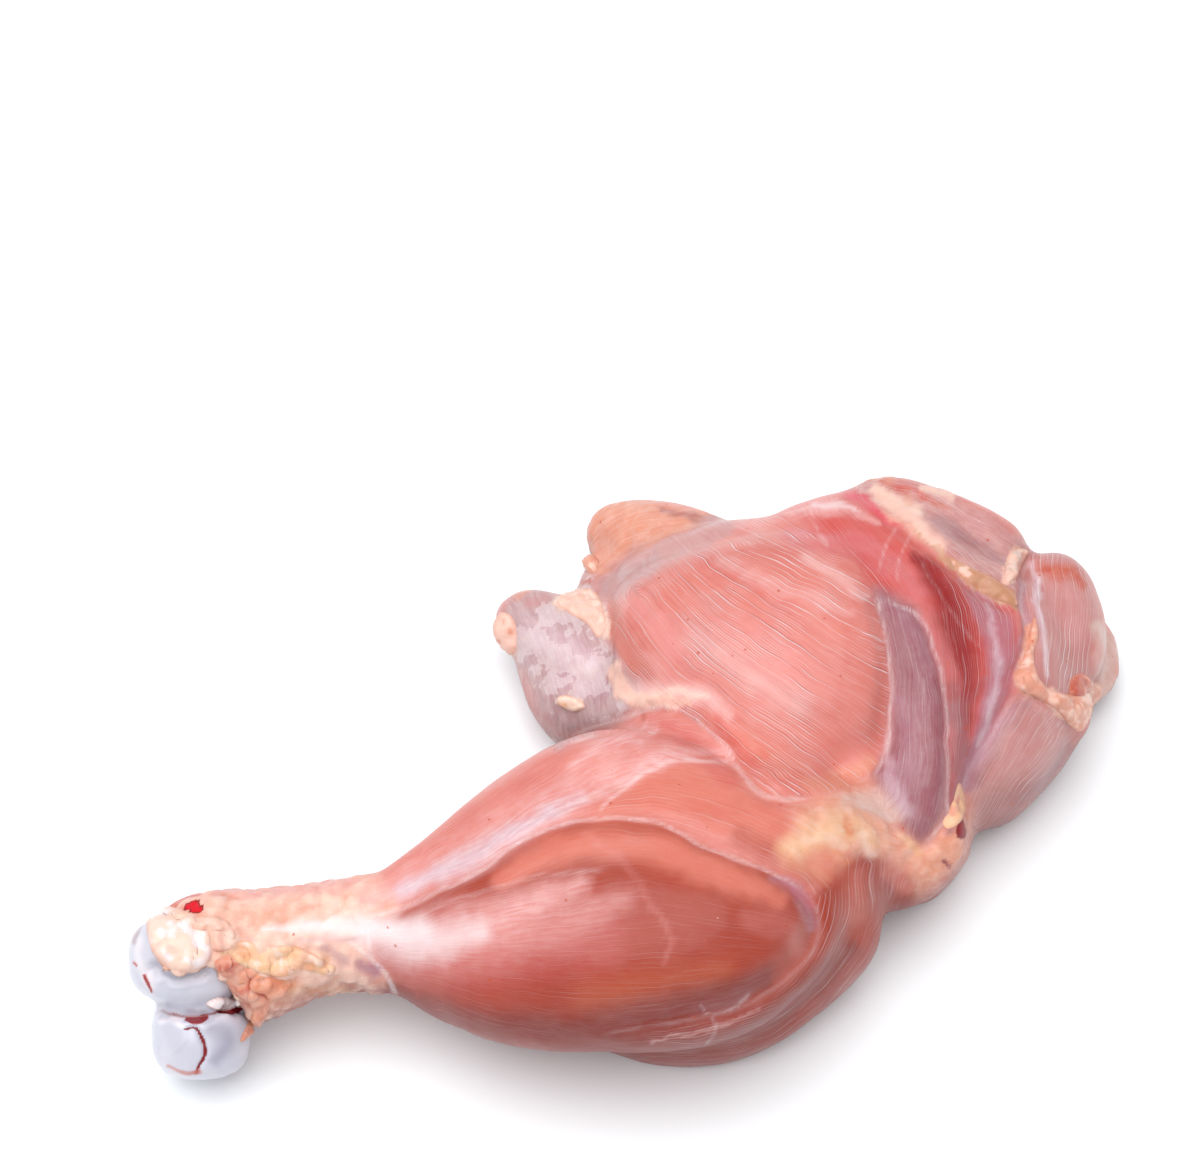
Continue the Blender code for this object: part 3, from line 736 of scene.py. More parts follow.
KNUCKLE_SEAMS = (
    # The gap between the two wheels, the crack in the lower one and the hollow under the pad
    Seam(((140, 996), (152, 1010), (175, 1015), (205, 1014), (232, 1004), (252, 992)),
         depth=1.6, half_width=6.0),
    Seam(((183, 1026), (196, 1029), (203, 1042), (204, 1058), (196, 1074)),
         depth=0.7, half_width=2.6, lap=-0.35, reach=25.0),
    Seam(((148, 960), (165, 978), (190, 978), (215, 968)), depth=1.3, half_width=10.0),
    Seam(((222, 1004), (238, 1010), (252, 1006)), depth=1.4, half_width=5.0),
)


KNUCKLE_STROKES = (
    # Painted shade: in the hollow under the pad, along the gap and on the lower wheel's right side
    Stroke(Tone.CARTILAGE_PAINTED_SHADE, ((152, 962, 7), (168, 976, 9), (190, 976, 7)), 0.4, 1.0),
    Stroke(Tone.CARTILAGE_PAINTED_SHADE, ((160, 1006, 6), (190, 1005, 7), (225, 996, 7), (246, 984, 6)), 0.4, 1.0),
    Stroke(Tone.CARTILAGE_PAINTED_SHADE, ((212, 1026, 14), (228, 1040, 16), (216, 1060, 12)), 0.55, 1.0),
    # Painted highlight down the upper wheel's left edge, and a pale spot on the lower wheel
    Stroke(Tone.PEARL, ((140, 940, 7), (138, 960, 8), (150, 985, 8)), 0.5, 1.0),
    Stroke(Tone.PEARL, ((160, 1020, 6), (172, 1018, 8), (180, 1026, 5)), 0.6, 1.0, film=0.6),
    Stroke(Tone.MAUVE, ((146, 908, 6), (138, 925, 6), (134, 942, 4)), 0.6, 0.9),
    Stroke(Tone.PEACH, ((160, 904, 12), (190, 902, 18), (230, 905, 22), (262, 920, 26)),
           0.95, 0.5, fat=0.8),
    Stroke(Tone.PEACH, ((262, 950, 26), (262, 990, 16)), 0.95, 0.5, fat=0.8),
    Stroke(Tone.CREAM, ((158, 930, 10), (180, 935, 20), (205, 945, 20)), 0.95, 0.4, fat=0.7),
    Stroke(Tone.BLOOD, ((150, 1010, 1.5), (175, 1015, 2.5), (205, 1014, 2.5), (238, 1002, 2.5)),
           0.75, 0.8, blood=0.5),
    Stroke(Tone.BLOOD, ((184, 1018, 3), (196, 1020, 6), (206, 1016, 5)), 1.0, 0.6, blood=0.9),
    Stroke(Tone.BLOOD, ((184, 1029, 1.2), (196, 1029, 1.8), (203, 1042, 2.2), (204, 1058, 2.2),
           (196, 1073, 1.8)), 1.0, 0.6,
           blood=0.8),
    Stroke(Tone.BLOOD, ((226, 1006, 2), (238, 1009, 4), (250, 1004, 5)), 1.0, 0.6, blood=0.85),
    Stroke(Tone.RUST, ((168, 1066, 2.5), (185, 1073, 3), (200, 1072, 2.5)), 0.8, 0.8),
    Stroke(Tone.RED, ((143, 975, 1.8), (148, 984, 2.2), (152, 992, 1.8)), 0.95, 0.6, blood=0.55),
    Stroke(Tone.RED, ((133, 962, 1.6), (136, 966, 1.6)), 0.95, 0.6, blood=0.5),
    Stroke(Tone.RED, ((132, 938, 1.5), (134, 925, 1.5), (140, 914, 1.5)), 0.8, 0.6, blood=0.4),
)


@dataclass(frozen=True)
class Patch:
    """A lump of fat or a shred that lies on the leg.

    outline and edge, the width of its rounded rim, are picture pixels. thickness, lumps and
    lump_size are millimetres. second is the tone of its spots, and more spread makes them fewer.
    """

    name: str
    tone: Tone
    second: Tone
    outline: Route
    thickness: float = 0.8
    edge: float = 7.0
    lumps: float = 0.5
    lump_size: float = 2.2
    spread: float = 0.1
    fat: float = 0.6


PATCHES = (
    Patch("hock_fat_pad", Tone.CREAM, Tone.PEARL,
          ((146, 920), (156, 906), (180, 908), (202, 920), (214, 942), (210, 962), (194, 972),
           (172, 971), (157, 960),
           (148, 942)), 0.7, 16.0, 1.0, 2.6, 0.0),
    Patch("hock_upper_fat", Tone.SHELL, Tone.ORANGE_FAT,
          ((186, 926), (200, 916), (224, 918), (236, 934), (232, 950), (216, 952), (205, 944)),
           0.5, 10.0, 0.9, 1.8),
    Patch("hock_lower_fat", Tone.PEACH, Tone.RUST,
          ((214, 962), (234, 954), (252, 962), (262, 984), (256, 1004), (240, 1000), (226, 984)),
           0.8, 10.0, 1.0, 2.4),
    Patch("hock_shred", Tone.PEACH, Tone.RUST,
          ((250, 990), (264, 992), (270, 1006), (262, 1024), (248, 1038), (240, 1042), (246, 1026),
           (252, 1012)), 0.8, 5.0,
          0.8, 1.6, fat=0.4),
    Patch("hock_splinter", Tone.PEARL, Tone.MAUVE,
          ((206, 1004), (216, 998), (230, 998), (241, 1004), (232, 1009), (216, 1010)),
           0.9, 4.0, 0.4, 1.4, 0.3, 0.2),
    Patch("shank_yellow_fat", Tone.YELLOW_FAT, Tone.CREAM,
          ((226, 950), (246, 940), (268, 946), (292, 944), (318, 956), (336, 966), (330, 976),
           (306, 972), (282, 978),
           (258, 974), (238, 968)), 0.5, 11.0, 1.0, 2.0, fat=0.9),
    Patch("shank_orange_fat", Tone.ORANGE_FAT, Tone.PEACH,
          ((236, 982), (252, 974), (276, 978), (292, 980), (286, 994), (266, 1004), (250, 1000)),
           0.6, 7.0, 1.0, 1.8),
    Patch("knee_front_fat", Tone.YELLOW_FAT, Tone.PEACH,
          ((958, 782), (964, 790), (966, 812), (960, 824), (948, 830), (942, 822), (950, 806)),
           0.35, 9.0, 0.5, 2.0),
    Patch("ridge_tan_fat", Tone.TAN_FAT, Tone.SHELL,
          ((950, 557), (964, 563), (984, 573), (1004, 584), (1016, 596), (1018, 607), (1006, 604),
           (988, 597), (968, 583),
           (956, 570)), 0.5, 8.0, 0.2, 4.0, 0.25, 0.2),
    Patch("ridge_cream_fat", Tone.SHELL, Tone.MEMBRANE,
          ((1010, 552), (1020, 548), (1028, 552), (1021, 566), (1015, 580), (1006, 583), (1004, 570)),
           0.9, 6.0, 0.6, 1.8),
    Patch("hip_fat_flap", Tone.PEACH, Tone.SHELL,
          ((1034, 616), (1039, 634), (1034, 656), (1040, 680), (1052, 690), (1070, 694), (1084, 690),
           (1098, 682),
           (1101, 696), (1092, 716), (1080, 732), (1068, 724), (1056, 710), (1040, 700), (1020, 690),
           (1014, 676),
           (1022, 660), (1028, 636)), 0.9, 8.0, 0.5, 3.0, 0.0, 0.4),
    Patch("hip_rust_fat", Tone.RUST, Tone.PEACH,
          ((1070, 680), (1080, 673), (1089, 678), (1087, 692), (1078, 702), (1070, 694)),
           1.25, 8.0, 0.3, 2.0, fat=0.3),
    Patch("flap_knob", Tone.SHELL, Tone.PEACH,
          ((494, 624), (502, 612), (513, 618), (517, 636), (514, 654), (504, 656), (496, 644)),
           1.3, 9.0, 0.6, 2.5, 0.1, 0.4),
    Patch("flap_cream_fat", Tone.SHELL, Tone.CREAM,
          ((556, 602), (570, 592), (590, 588), (602, 602), (606, 628), (598, 638), (586, 624),
           (570, 614)), 0.6, 8.0, 0.6,
          1.8, fat=0.6),
    Patch("flap_white_fat", Tone.CREAM, Tone.YELLOW_FAT,
          ((556, 699), (566, 695), (580, 700), (585, 708), (574, 712), (562, 707)), 0.9, 5.0, 0.3, 2.0),
    Patch("lobe_bead", Tone.PEACH, Tone.CREAM,
          ((584, 558), (591, 554), (598, 560), (597, 569), (590, 573), (584, 567)),
           1.8, 6.0, 0.2, 2.0, fat=0.2),
)


def noise_at(places: np.ndarray, size: float, seed: int = 0, octaves: int = 1) -> np.ndarray:
    """Even noise between about -1 and 1.

    Args:
        places: rows of x, y, z in millimetres.
        size: millimetres from one bump to the next.
        seed: which of the patterns is read.
        octaves: layers of finer and finer noise.

    Returns:
        One number for each place.
    """
    total = np.zeros(len(places))
    for octave in range(octaves):
        scaled = places * (2**octave / size) + (31.7 * seed, 17.9 * seed, 7.3 * (seed + octave))
        total += np.array([noise.noise(row) for row in scaled.tolist()]) / 2**octave
    return total


def wander_at(places: np.ndarray, size: float, seeds: tuple[int, ...], octaves: int = 1) -> np.ndarray:
    """Noise in several patterns, one column for each seed."""
    return np.stack([noise_at(places, size, seed, octaves) for seed in seeds], axis=1)


def mesh_arrays(mesh: Mesh) -> tuple[np.ndarray, np.ndarray]:
    """A mesh's points in millimetres and their normals."""
    count = len(mesh.vertices)
    places = np.empty(count * 3)
    mesh.vertices.foreach_get("co", places)
    normals = np.empty(count * 3)
    mesh.vertex_normals.foreach_get("vector", normals)
    return places.reshape(count, 3) / MM, normals.reshape(count, 3)


def move_points(mesh: Mesh, places: np.ndarray) -> None:
    """Puts a mesh's points at places given in millimetres."""
    mesh.vertices.foreach_set("co", (places * MM).ravel())
    mesh.update()


def store(mesh: Mesh, name: str, values: np.ndarray) -> None:
    """Keeps a number, or three, for each point as an attribute of the mesh.

    Args:
        mesh: the mesh.
        name: the attribute's name, as the material reads it.
        values: one number or one row of three for each point.
    """
    kind, key = ("FLOAT", "value") if values.ndim == 1 else ("FLOAT_VECTOR", "vector")
    attribute = mesh.attributes.new(name, kind, "POINT")
    attribute.data.foreach_set(key, values.astype(np.float32).ravel())


@dataclass
class Coat:
    """What covers each point of a mesh: its tone, and its shares of fat, film and blood."""

    tone: np.ndarray
    cover: np.ndarray

    @classmethod
    def plain(cls, count: int, tone: Tone, fat: float = 0.0, film: float = 0.0) -> "Coat":
        """The same tone and covers on every point."""
        return cls(np.tile(tone.linear(), (count, 1)), np.tile((fat, film, 0.0), (count, 1)))

    def tint(self, amount: np.ndarray, tone: Tone) -> None:
        """Draws each point's tone towards another by an amount from 0 to 1."""
        self.tone += amount[:, None] * (tone.linear() - self.tone)

    def lay(self, amount: np.ndarray, brush: Muscle | Stroke) -> None:
        """Lays a muscle or a stroke over the points."""
        self.tint(amount, brush.tone)
        self.cover += amount[:, None] * (np.array(brush.covers) - self.cover)

    def keep(self, mesh: Mesh) -> None:
        """Stores the coat as the attributes that the materials read."""
        store(mesh, "tone", self.tone)
        store(mesh, "cover", self.cover)


def new_object(name: str, mesh: Mesh) -> bpy.types.Object:
    """Object at the origin that shows the mesh."""
    obj = bpy.data.objects.new(name, mesh)
    bpy.context.scene.collection.objects.link(obj)
    return obj


def refined(name: str, bm: bmesh.types.BMesh, voxel: float, smoothing: int) -> bpy.types.Object:
    """Fuses a bmesh's closed shapes into one even, smooth mesh.

    Args:
        name: the new object's name.
        bm: the shapes, which this frees.
        voxel: size of the new faces in millimetres.
        smoothing: how many times the mesh is smoothed.

    Returns:
        The object, with no modifier left on it.
    """
    rough = bpy.data.meshes.new(name)
    bm.to_mesh(rough)
    bm.free()
    obj = new_object(name, rough)
    remesh = obj.modifiers.new("fuse", "REMESH")
    remesh.mode = "VOXEL"
    remesh.voxel_size = voxel * MM
    soften = obj.modifiers.new("soften", "SMOOTH")
    soften.factor = 0.5
    soften.iterations = smoothing
    graph = bpy.context.evaluated_depsgraph_get()
    mesh = bpy.data.meshes.new_from_object(obj.evaluated_get(graph))
    obj.modifiers.clear()
    obj.data = mesh
    bpy.data.meshes.remove(rough)
    mesh.name = name
    mesh.shade_smooth()
    mesh.materials.clear()
    return obj


def node_bmesh(name: str) -> bmesh.types.BMesh:
    """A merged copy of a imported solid's mesh."""
    bm = bmesh.new()
    bm.from_mesh(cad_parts[name].data)
    bmesh.ops.remove_doubles(bm, verts=bm.verts, dist=1e-6)
    return bm


def shin_bone_part(cut_at: float, towards_knee: bool) -> bmesh.types.BMesh:
    """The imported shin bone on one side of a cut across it, closed at the cut.

    Args:
        cut_at: the cut's x in millimetres.
        towards_knee: whether the knee's side is kept, or else the hock's.

    Returns:
        The part as a new bmesh.
    """
    bone = node_bmesh("shin_bone")
    cut = bmesh.ops.bisect_plane(
        bone, geom=[*bone.verts, *bone.edges, *bone.faces], dist=1e-7, plane_co=(cut_at * MM, 0, 0),
        plane_no=(1, 0, 0), clear_inner=towards_knee, clear_outer=not towards_knee,
    )
    rim = [item for item in cut["geom_cut"] if isinstance(item, bmesh.types.BMEdge)]
    bmesh.ops.holes_fill(bone, edges=rim)
    return bone


@dataclass
class Value:
    """A number in a material. It wraps a socket, so that shader maths reads as an expression."""

    graph: "Graph"
    socket: Socket

    def math(self, operation: str, *others: "Value | float") -> "Value":
        """Adds a Math node that takes this value first."""
        inputs = dict(enumerate((self, *others)))
        node = self.graph.node("ShaderNodeMath", {"operation": operation}, inputs)
        return Value(self.graph, node.outputs[0])

    def __add__(self, other: "Value | float") -> "Value":
        return self.math("ADD", other)

    __radd__ = __add__

    def __mul__(self, other: "Value | float") -> "Value":
        return self.math("MULTIPLY", other)

    __rmul__ = __mul__

    def __sub__(self, other: "Value | float") -> "Value":
        return self.math("SUBTRACT", other)

    def __rsub__(self, other: float) -> "Value":
        return (self * -1.0) + other

    def between(self, low: float, high: float) -> "Value":
        """Smooth step from 0 at low to 1 at high, either way round."""
        settings = {"interpolation_type": "SMOOTHSTEP"}
        inputs = {"Value": self, "From Min": low, "From Max": high}
        return Value(self.graph, self.graph.node("ShaderNodeMapRange", settings, inputs).outputs["Result"])


class Graph:
    """A material's nodes. One method adds any of them, the others name what this leg uses."""

    def __init__(self, name: str) -> None:
        """Starts a material with a Principled BSDF."""
        self.material = bpy.data.materials.new(name)
        self.material.use_nodes = True
        self.tree = self.material.node_tree
        self.shader = self.tree.nodes["Principled BSDF"]

    def node(self, kind: str, settings: dict | None = None, inputs: dict | None = None) -> bpy.types.Node:
        """Adds a node.

        Args:
            kind: the node's type.
            settings: its properties by name.
            inputs: values or links by socket name or number.

        Returns:
            The node.
        """
        node = self.tree.nodes.new(kind)
        for key, setting in (settings or {}).items():
            setattr(node, key, setting)
        for key, value in (inputs or {}).items():
            self.feed(node.inputs[key], value)
        return node

    def feed(self, socket: Socket, value: object) -> None:
        """Links a value or sets a number, colour or vector on a socket."""
        if isinstance(value, Value):
            self.tree.links.new(value.socket, socket)
        elif isinstance(value, Socket):
            self.tree.links.new(value, socket)
        elif isinstance(value, Tone):
            socket.default_value = (*value.linear(), 1.0)
        else:
            socket.default_value = value

    def attribute(self, name: str, output: str = "Vector") -> Socket:
        """A mesh attribute, as a vector or as a colour."""
        return self.node("ShaderNodeAttribute", {"attribute_name": name}).outputs[output]

    def parts(self, vector: Socket) -> tuple[Value, Value, Value]:
        """The three numbers of a vector."""
        outputs = self.node("ShaderNodeSeparateXYZ", None, {0: vector}).outputs
        return tuple(Value(self, output) for output in outputs)

    def together(self, x: Value, y: Value, z: Value | float) -> Socket:
        """A vector of three numbers."""
        return self.node("ShaderNodeCombineXYZ", None, {0: x, 1: y, 2: z}).outputs[0]

    def object_place(self) -> Socket:
        """Place in the object, in metres."""
        return self.node("ShaderNodeTexCoord").outputs["Object"]

    def noise(self, place: Socket, scale: float, detail: float = 2.0, roughness: float = 0.5) -> Value:
        """Noise texture's value at a place."""
        inputs = {"Vector": place, "Scale": scale, "Detail": detail, "Roughness": roughness}
        return Value(self, self.node("ShaderNodeTexNoise", None, inputs).outputs[0])

    def cells(self, place: Socket, scale: float) -> Value:
        """Distance to the nearest of scattered points."""
        node = self.node("ShaderNodeTexVoronoi", None, {"Vector": place, "Scale": scale})
        return Value(self, node.outputs["Distance"])

    def mix(self, amount: Value | float, under: object, over: object, blend: str = "MIX") -> Socket:
        """Colour between two, or one laid over the other by a blend type."""
        settings = {"data_type": "RGBA", "blend_type": blend}
        return self.node("ShaderNodeMix", settings, {0: amount, 6: under, 7: over}).outputs[2]

    def bump(self, height: Value, distance: float, strength: float = 1.0) -> Socket:
        """Normal of a surface with a fine height on it, distance metres high."""
        inputs = {"Strength": strength, "Distance": distance, "Height": height}
        return self.node("ShaderNodeBump", None, inputs).outputs[0]

    def finish(self, **sockets: object) -> bpy.types.Material:
        """Feeds the shader's sockets, named with underscores for spaces."""
        for key, value in sockets.items():
            self.feed(self.shader.inputs[key.replace("_", " ")], value)
        return self.material


@dataclass(frozen=True)
class MeatFinish:
    """Moist raw muscle with white strands, milky fascia, fat, blood and tiny painted glints of moisture.

    Strands and hairs are waves across the fibres: a pitch is radians of phase a millimetre,
    sway bends them together along the muscle and jitter sets each off its neighbours.
    """

    strand_pitch: float = 6.6
    strand_sway: float = 4.5
    strand_jitter: float = 1.8
    hair_pitch: float = 14.0
    hair_sway: float = 12.0
    hair_jitter: float = 9.0
    furrow_lag: float = 1.2
    strand_whiteness: float = 0.85
    film_whiteness: float = 0.62
    shade: tuple[float, float, float, float] = (0.80, 0.52, 0.50, 1.0)
    relief: float = 0.0003
    relief_strength: float = 0.7
    softness: float = 0.22
    soft_colours: tuple[float, float, float] = (1.0, 0.42, 0.28)
    scatter_depth: float = 0.0022

    def material(self) -> bpy.types.Material:
        """Builds the meat's material from the skin's attributes."""
        g = Graph("raw_meat")
        place = g.object_place()
        along, across, strands = g.parts(g.attribute("fibre"))
        fat, film, blood = g.parts(g.attribute("cover"))
        patchy = g.noise(place, 90.0, 3.0)
        small = g.noise(place, 420.0, 4.0, 0.6)
        grains = g.noise(place, 900.0, 2.0)
        streaks = self.streaks(g, place, along, across)
        white, furrows, bands = self.strand_masks(g, place, along, across, patchy)
        white = strands * white
        tone = g.attribute("tone", "Color")
        deep = g.mix(1.0, tone, self.shade, "MULTIPLY")
        colour = g.mix(patchy.between(0.35, 0.8) * 0.4 * (1.0 - fat), tone, deep)
        colour = g.mix(strands * (furrows * 0.85 + bands.between(0.5, 0.7) * 0.35), colour, deep)
        colour = g.mix(white * self.strand_whiteness, colour, Tone.PEARL)
        milky = film * (streaks.between(0.32, 0.68) * 0.6 + small.between(0.4, 0.7) * 0.25 + 0.15)
        colour = g.mix(milky * self.film_whiteness, colour, Tone.PEARL)
        colour = g.mix(self.sheets(g, place, fat, film, strands), colour, Tone.PEARL)
        colour = g.mix(fat, colour, self.fatty(g, place, small, colour))
        line_gap, line_white, _ = g.parts(g.attribute("seam"))
        white_line = (line_gap + (small - 0.5) * 0.35).between(0.45, -0.3) * line_white
        colour = g.mix(white_line * (0.15 + 0.5 * streaks.between(0.35, 0.6)), colour, Tone.PEARL)
        stain = (blood + (small - 0.5) * 0.5 * blood).between(0.25, 0.6)
        colour = g.mix(stain * 0.95, colour, g.mix(blood.between(0.7, 0.95), Tone.BLOOD, Tone.BRIGHT_BLOOD))
        pores = g.cells(place, 230.0).between(0.085, 0.05) * grains.between(0.5, 0.54)
        colour = g.mix(pores * 0.7, colour, Tone.RUST)
        # Painted highlights: tiny white glints of moisture
        glints_and_specks = g.cells(place, 300.0).between(0.05, 0.03) * small.between(0.58, 0.62)
        colour = g.mix(glints_and_specks * 0.6, colour, Tone.PEARL)
        fibrous = white * 0.5 - strands * furrows * 0.35 + white_line * 0.5
        height = fibrous + small * (0.22 + fat * 1.1) + grains * 0.10
        return g.finish(
            Base_Color=colour, Roughness=0.34 + patchy * 0.14 + small * 0.1 - film * 0.05,
            Normal=g.bump(height, self.relief, self.relief_strength),
            Coat_Weight=0.16 + 0.22 * patchy.between(0.3, 0.7), Coat_Roughness=0.14, Coat_IOR=1.36,
            Subsurface_Weight=self.softness, Subsurface_Radius=self.soft_colours,
            Subsurface_Scale=self.scatter_depth, Specular_IOR_Level=0.3,
        )

    def strand_masks(
        self, g: Graph, place: Socket, along: Value, across: Value, patchy: Value
    ) -> tuple[Value, Value, Value]:
        """Where white strands, the furrows beside them and wide dark bands run."""
        sway = g.noise(g.together(along * 0.035, across * 0.22, 3.0), 1.0)
        jitter = g.noise(g.together(along * 0.06, across * 0.8, 6.0), 1.0)
        phase = across * self.strand_pitch + sway * self.strand_sway + jitter * self.strand_jitter
        hair_phase = across * self.hair_pitch + sway * self.hair_sway + jitter * self.hair_jitter
        fading = g.noise(g.together(along * 0.07, across * 1.1, 1.0), 1.0).between(0.42, 0.62)
        shown = fading * (patchy.between(0.36, 0.6) * 0.7 + 0.3)
        lines = phase.math("SINE").between(0.74, 1.0) * shown
        hairs = hair_phase.math("SINE").between(0.3, 1.0) * g.noise(place, 160.0).between(0.4, 0.62)
        furrows = (phase + self.furrow_lag).math("SINE").between(0.5, 1.0) * shown
        bands = g.noise(g.together(along * 0.015, across * 0.45, 12.0), 1.0)
        return lines * 0.85 + hairs * 0.30, furrows, bands

    def streaks(self, g: Graph, place: Socket, along: Value, across: Value) -> Value:
        """Uneven streaks of film along the fibres."""
        wander = g.noise(place, 120.0)
        return g.noise(g.together(along * 0.16, across * 1.3 + wander * 3.0, 9.0), 1.0, 5.0, 0.7)

    def sheets(self, g: Graph, place: Socket, fat: Value, film: Value, strands: Value) -> Value:
        """Torn sheets of fascia with paler rims, where film lies on meat without strands."""
        islands = g.noise(place, 130.0, 4.0, 0.6)
        calm = film.between(0.3, 0.5) * strands.between(0.06, 0.03) * (1.0 - fat)
        rims = islands.between(0.5, 0.515) * islands.between(0.55, 0.52)
        return calm * (islands.between(0.48, 0.58) * 0.3 + rims * 0.2)

    def fatty(self, g: Graph, place: Socket, small: Value, colour: Socket) -> Socket:
        """The colour with cream lumps and peach patches, as fat has."""
        lumpy = g.mix(small.between(0.42, 0.62) * 0.35, colour, Tone.CREAM)
        return g.mix(g.noise(place, 240.0, 3.0).between(0.52, 0.7) * 0.45, lumpy, Tone.PEACH)


@dataclass(frozen=True)
class CartilageFinish:
    """Smooth wet cartilage, bluish white, with painted shade in its hollows and blood in its cracks."""

    softness: float = 0.3
    scatter_depth: float = 0.0015

    def material(self) -> bpy.types.Material:
        """Builds the cartilage's material from the knuckle's attributes."""
        g = Graph("cartilage")
        place = g.object_place()
        fat, film, blood = g.parts(g.attribute("cover"))
        cloud = g.noise(place, 110.0, 3.0)
        small = g.noise(place, 600.0, 3.0)
        colour = g.attribute("tone", "Color")
        colour = g.mix(cloud.between(0.4, 0.75) * 0.35 * (1.0 - blood), colour, Tone.PEARL)
        colour = g.mix(small.between(0.45, 0.7) * fat * 0.5, colour, Tone.CREAM)
        stain = (blood + (small - 0.5) * 0.6 * blood).between(0.25, 0.6)
        colour = g.mix(stain, colour, g.mix(cloud.between(0.45, 0.55), Tone.BLOOD, Tone.DARK_RED))
        # Dark rust specks where film lies; no glints on the cartilage
        glints_and_specks = g.cells(place, 420.0).between(0.10, 0.05) * film
        colour = g.mix(glints_and_specks * 0.8, colour, Tone.RUST)
        height = cloud * 0.6 + small * (0.12 + fat * 1.2)
        return g.finish(
            Base_Color=colour, Roughness=0.26 + cloud * 0.12 + fat * 0.15, Normal=g.bump(height, 0.0002, 0.5),
            Coat_Weight=0.4 - fat * 0.2, Coat_Roughness=0.1, Subsurface_Weight=self.softness,
            Subsurface_Radius=(0.8, 0.8, 1.0), Subsurface_Scale=self.scatter_depth,
        )


@dataclass(frozen=True)
class FloorFinish:
    """Plain white paper."""

    white: tuple[float, float, float, float] = (0.8775, 0.9, 0.918, 1.0)
    roughness: float = 0.9
    glow: float = 0.08

    def material(self) -> bpy.types.Material:
        """Builds the floor's material."""
        g = Graph("white_floor")
        return g.finish(
            Base_Color=self.white, Roughness=self.roughness,
            Emission_Color=self.white, Emission_Strength=self.glow,
        )


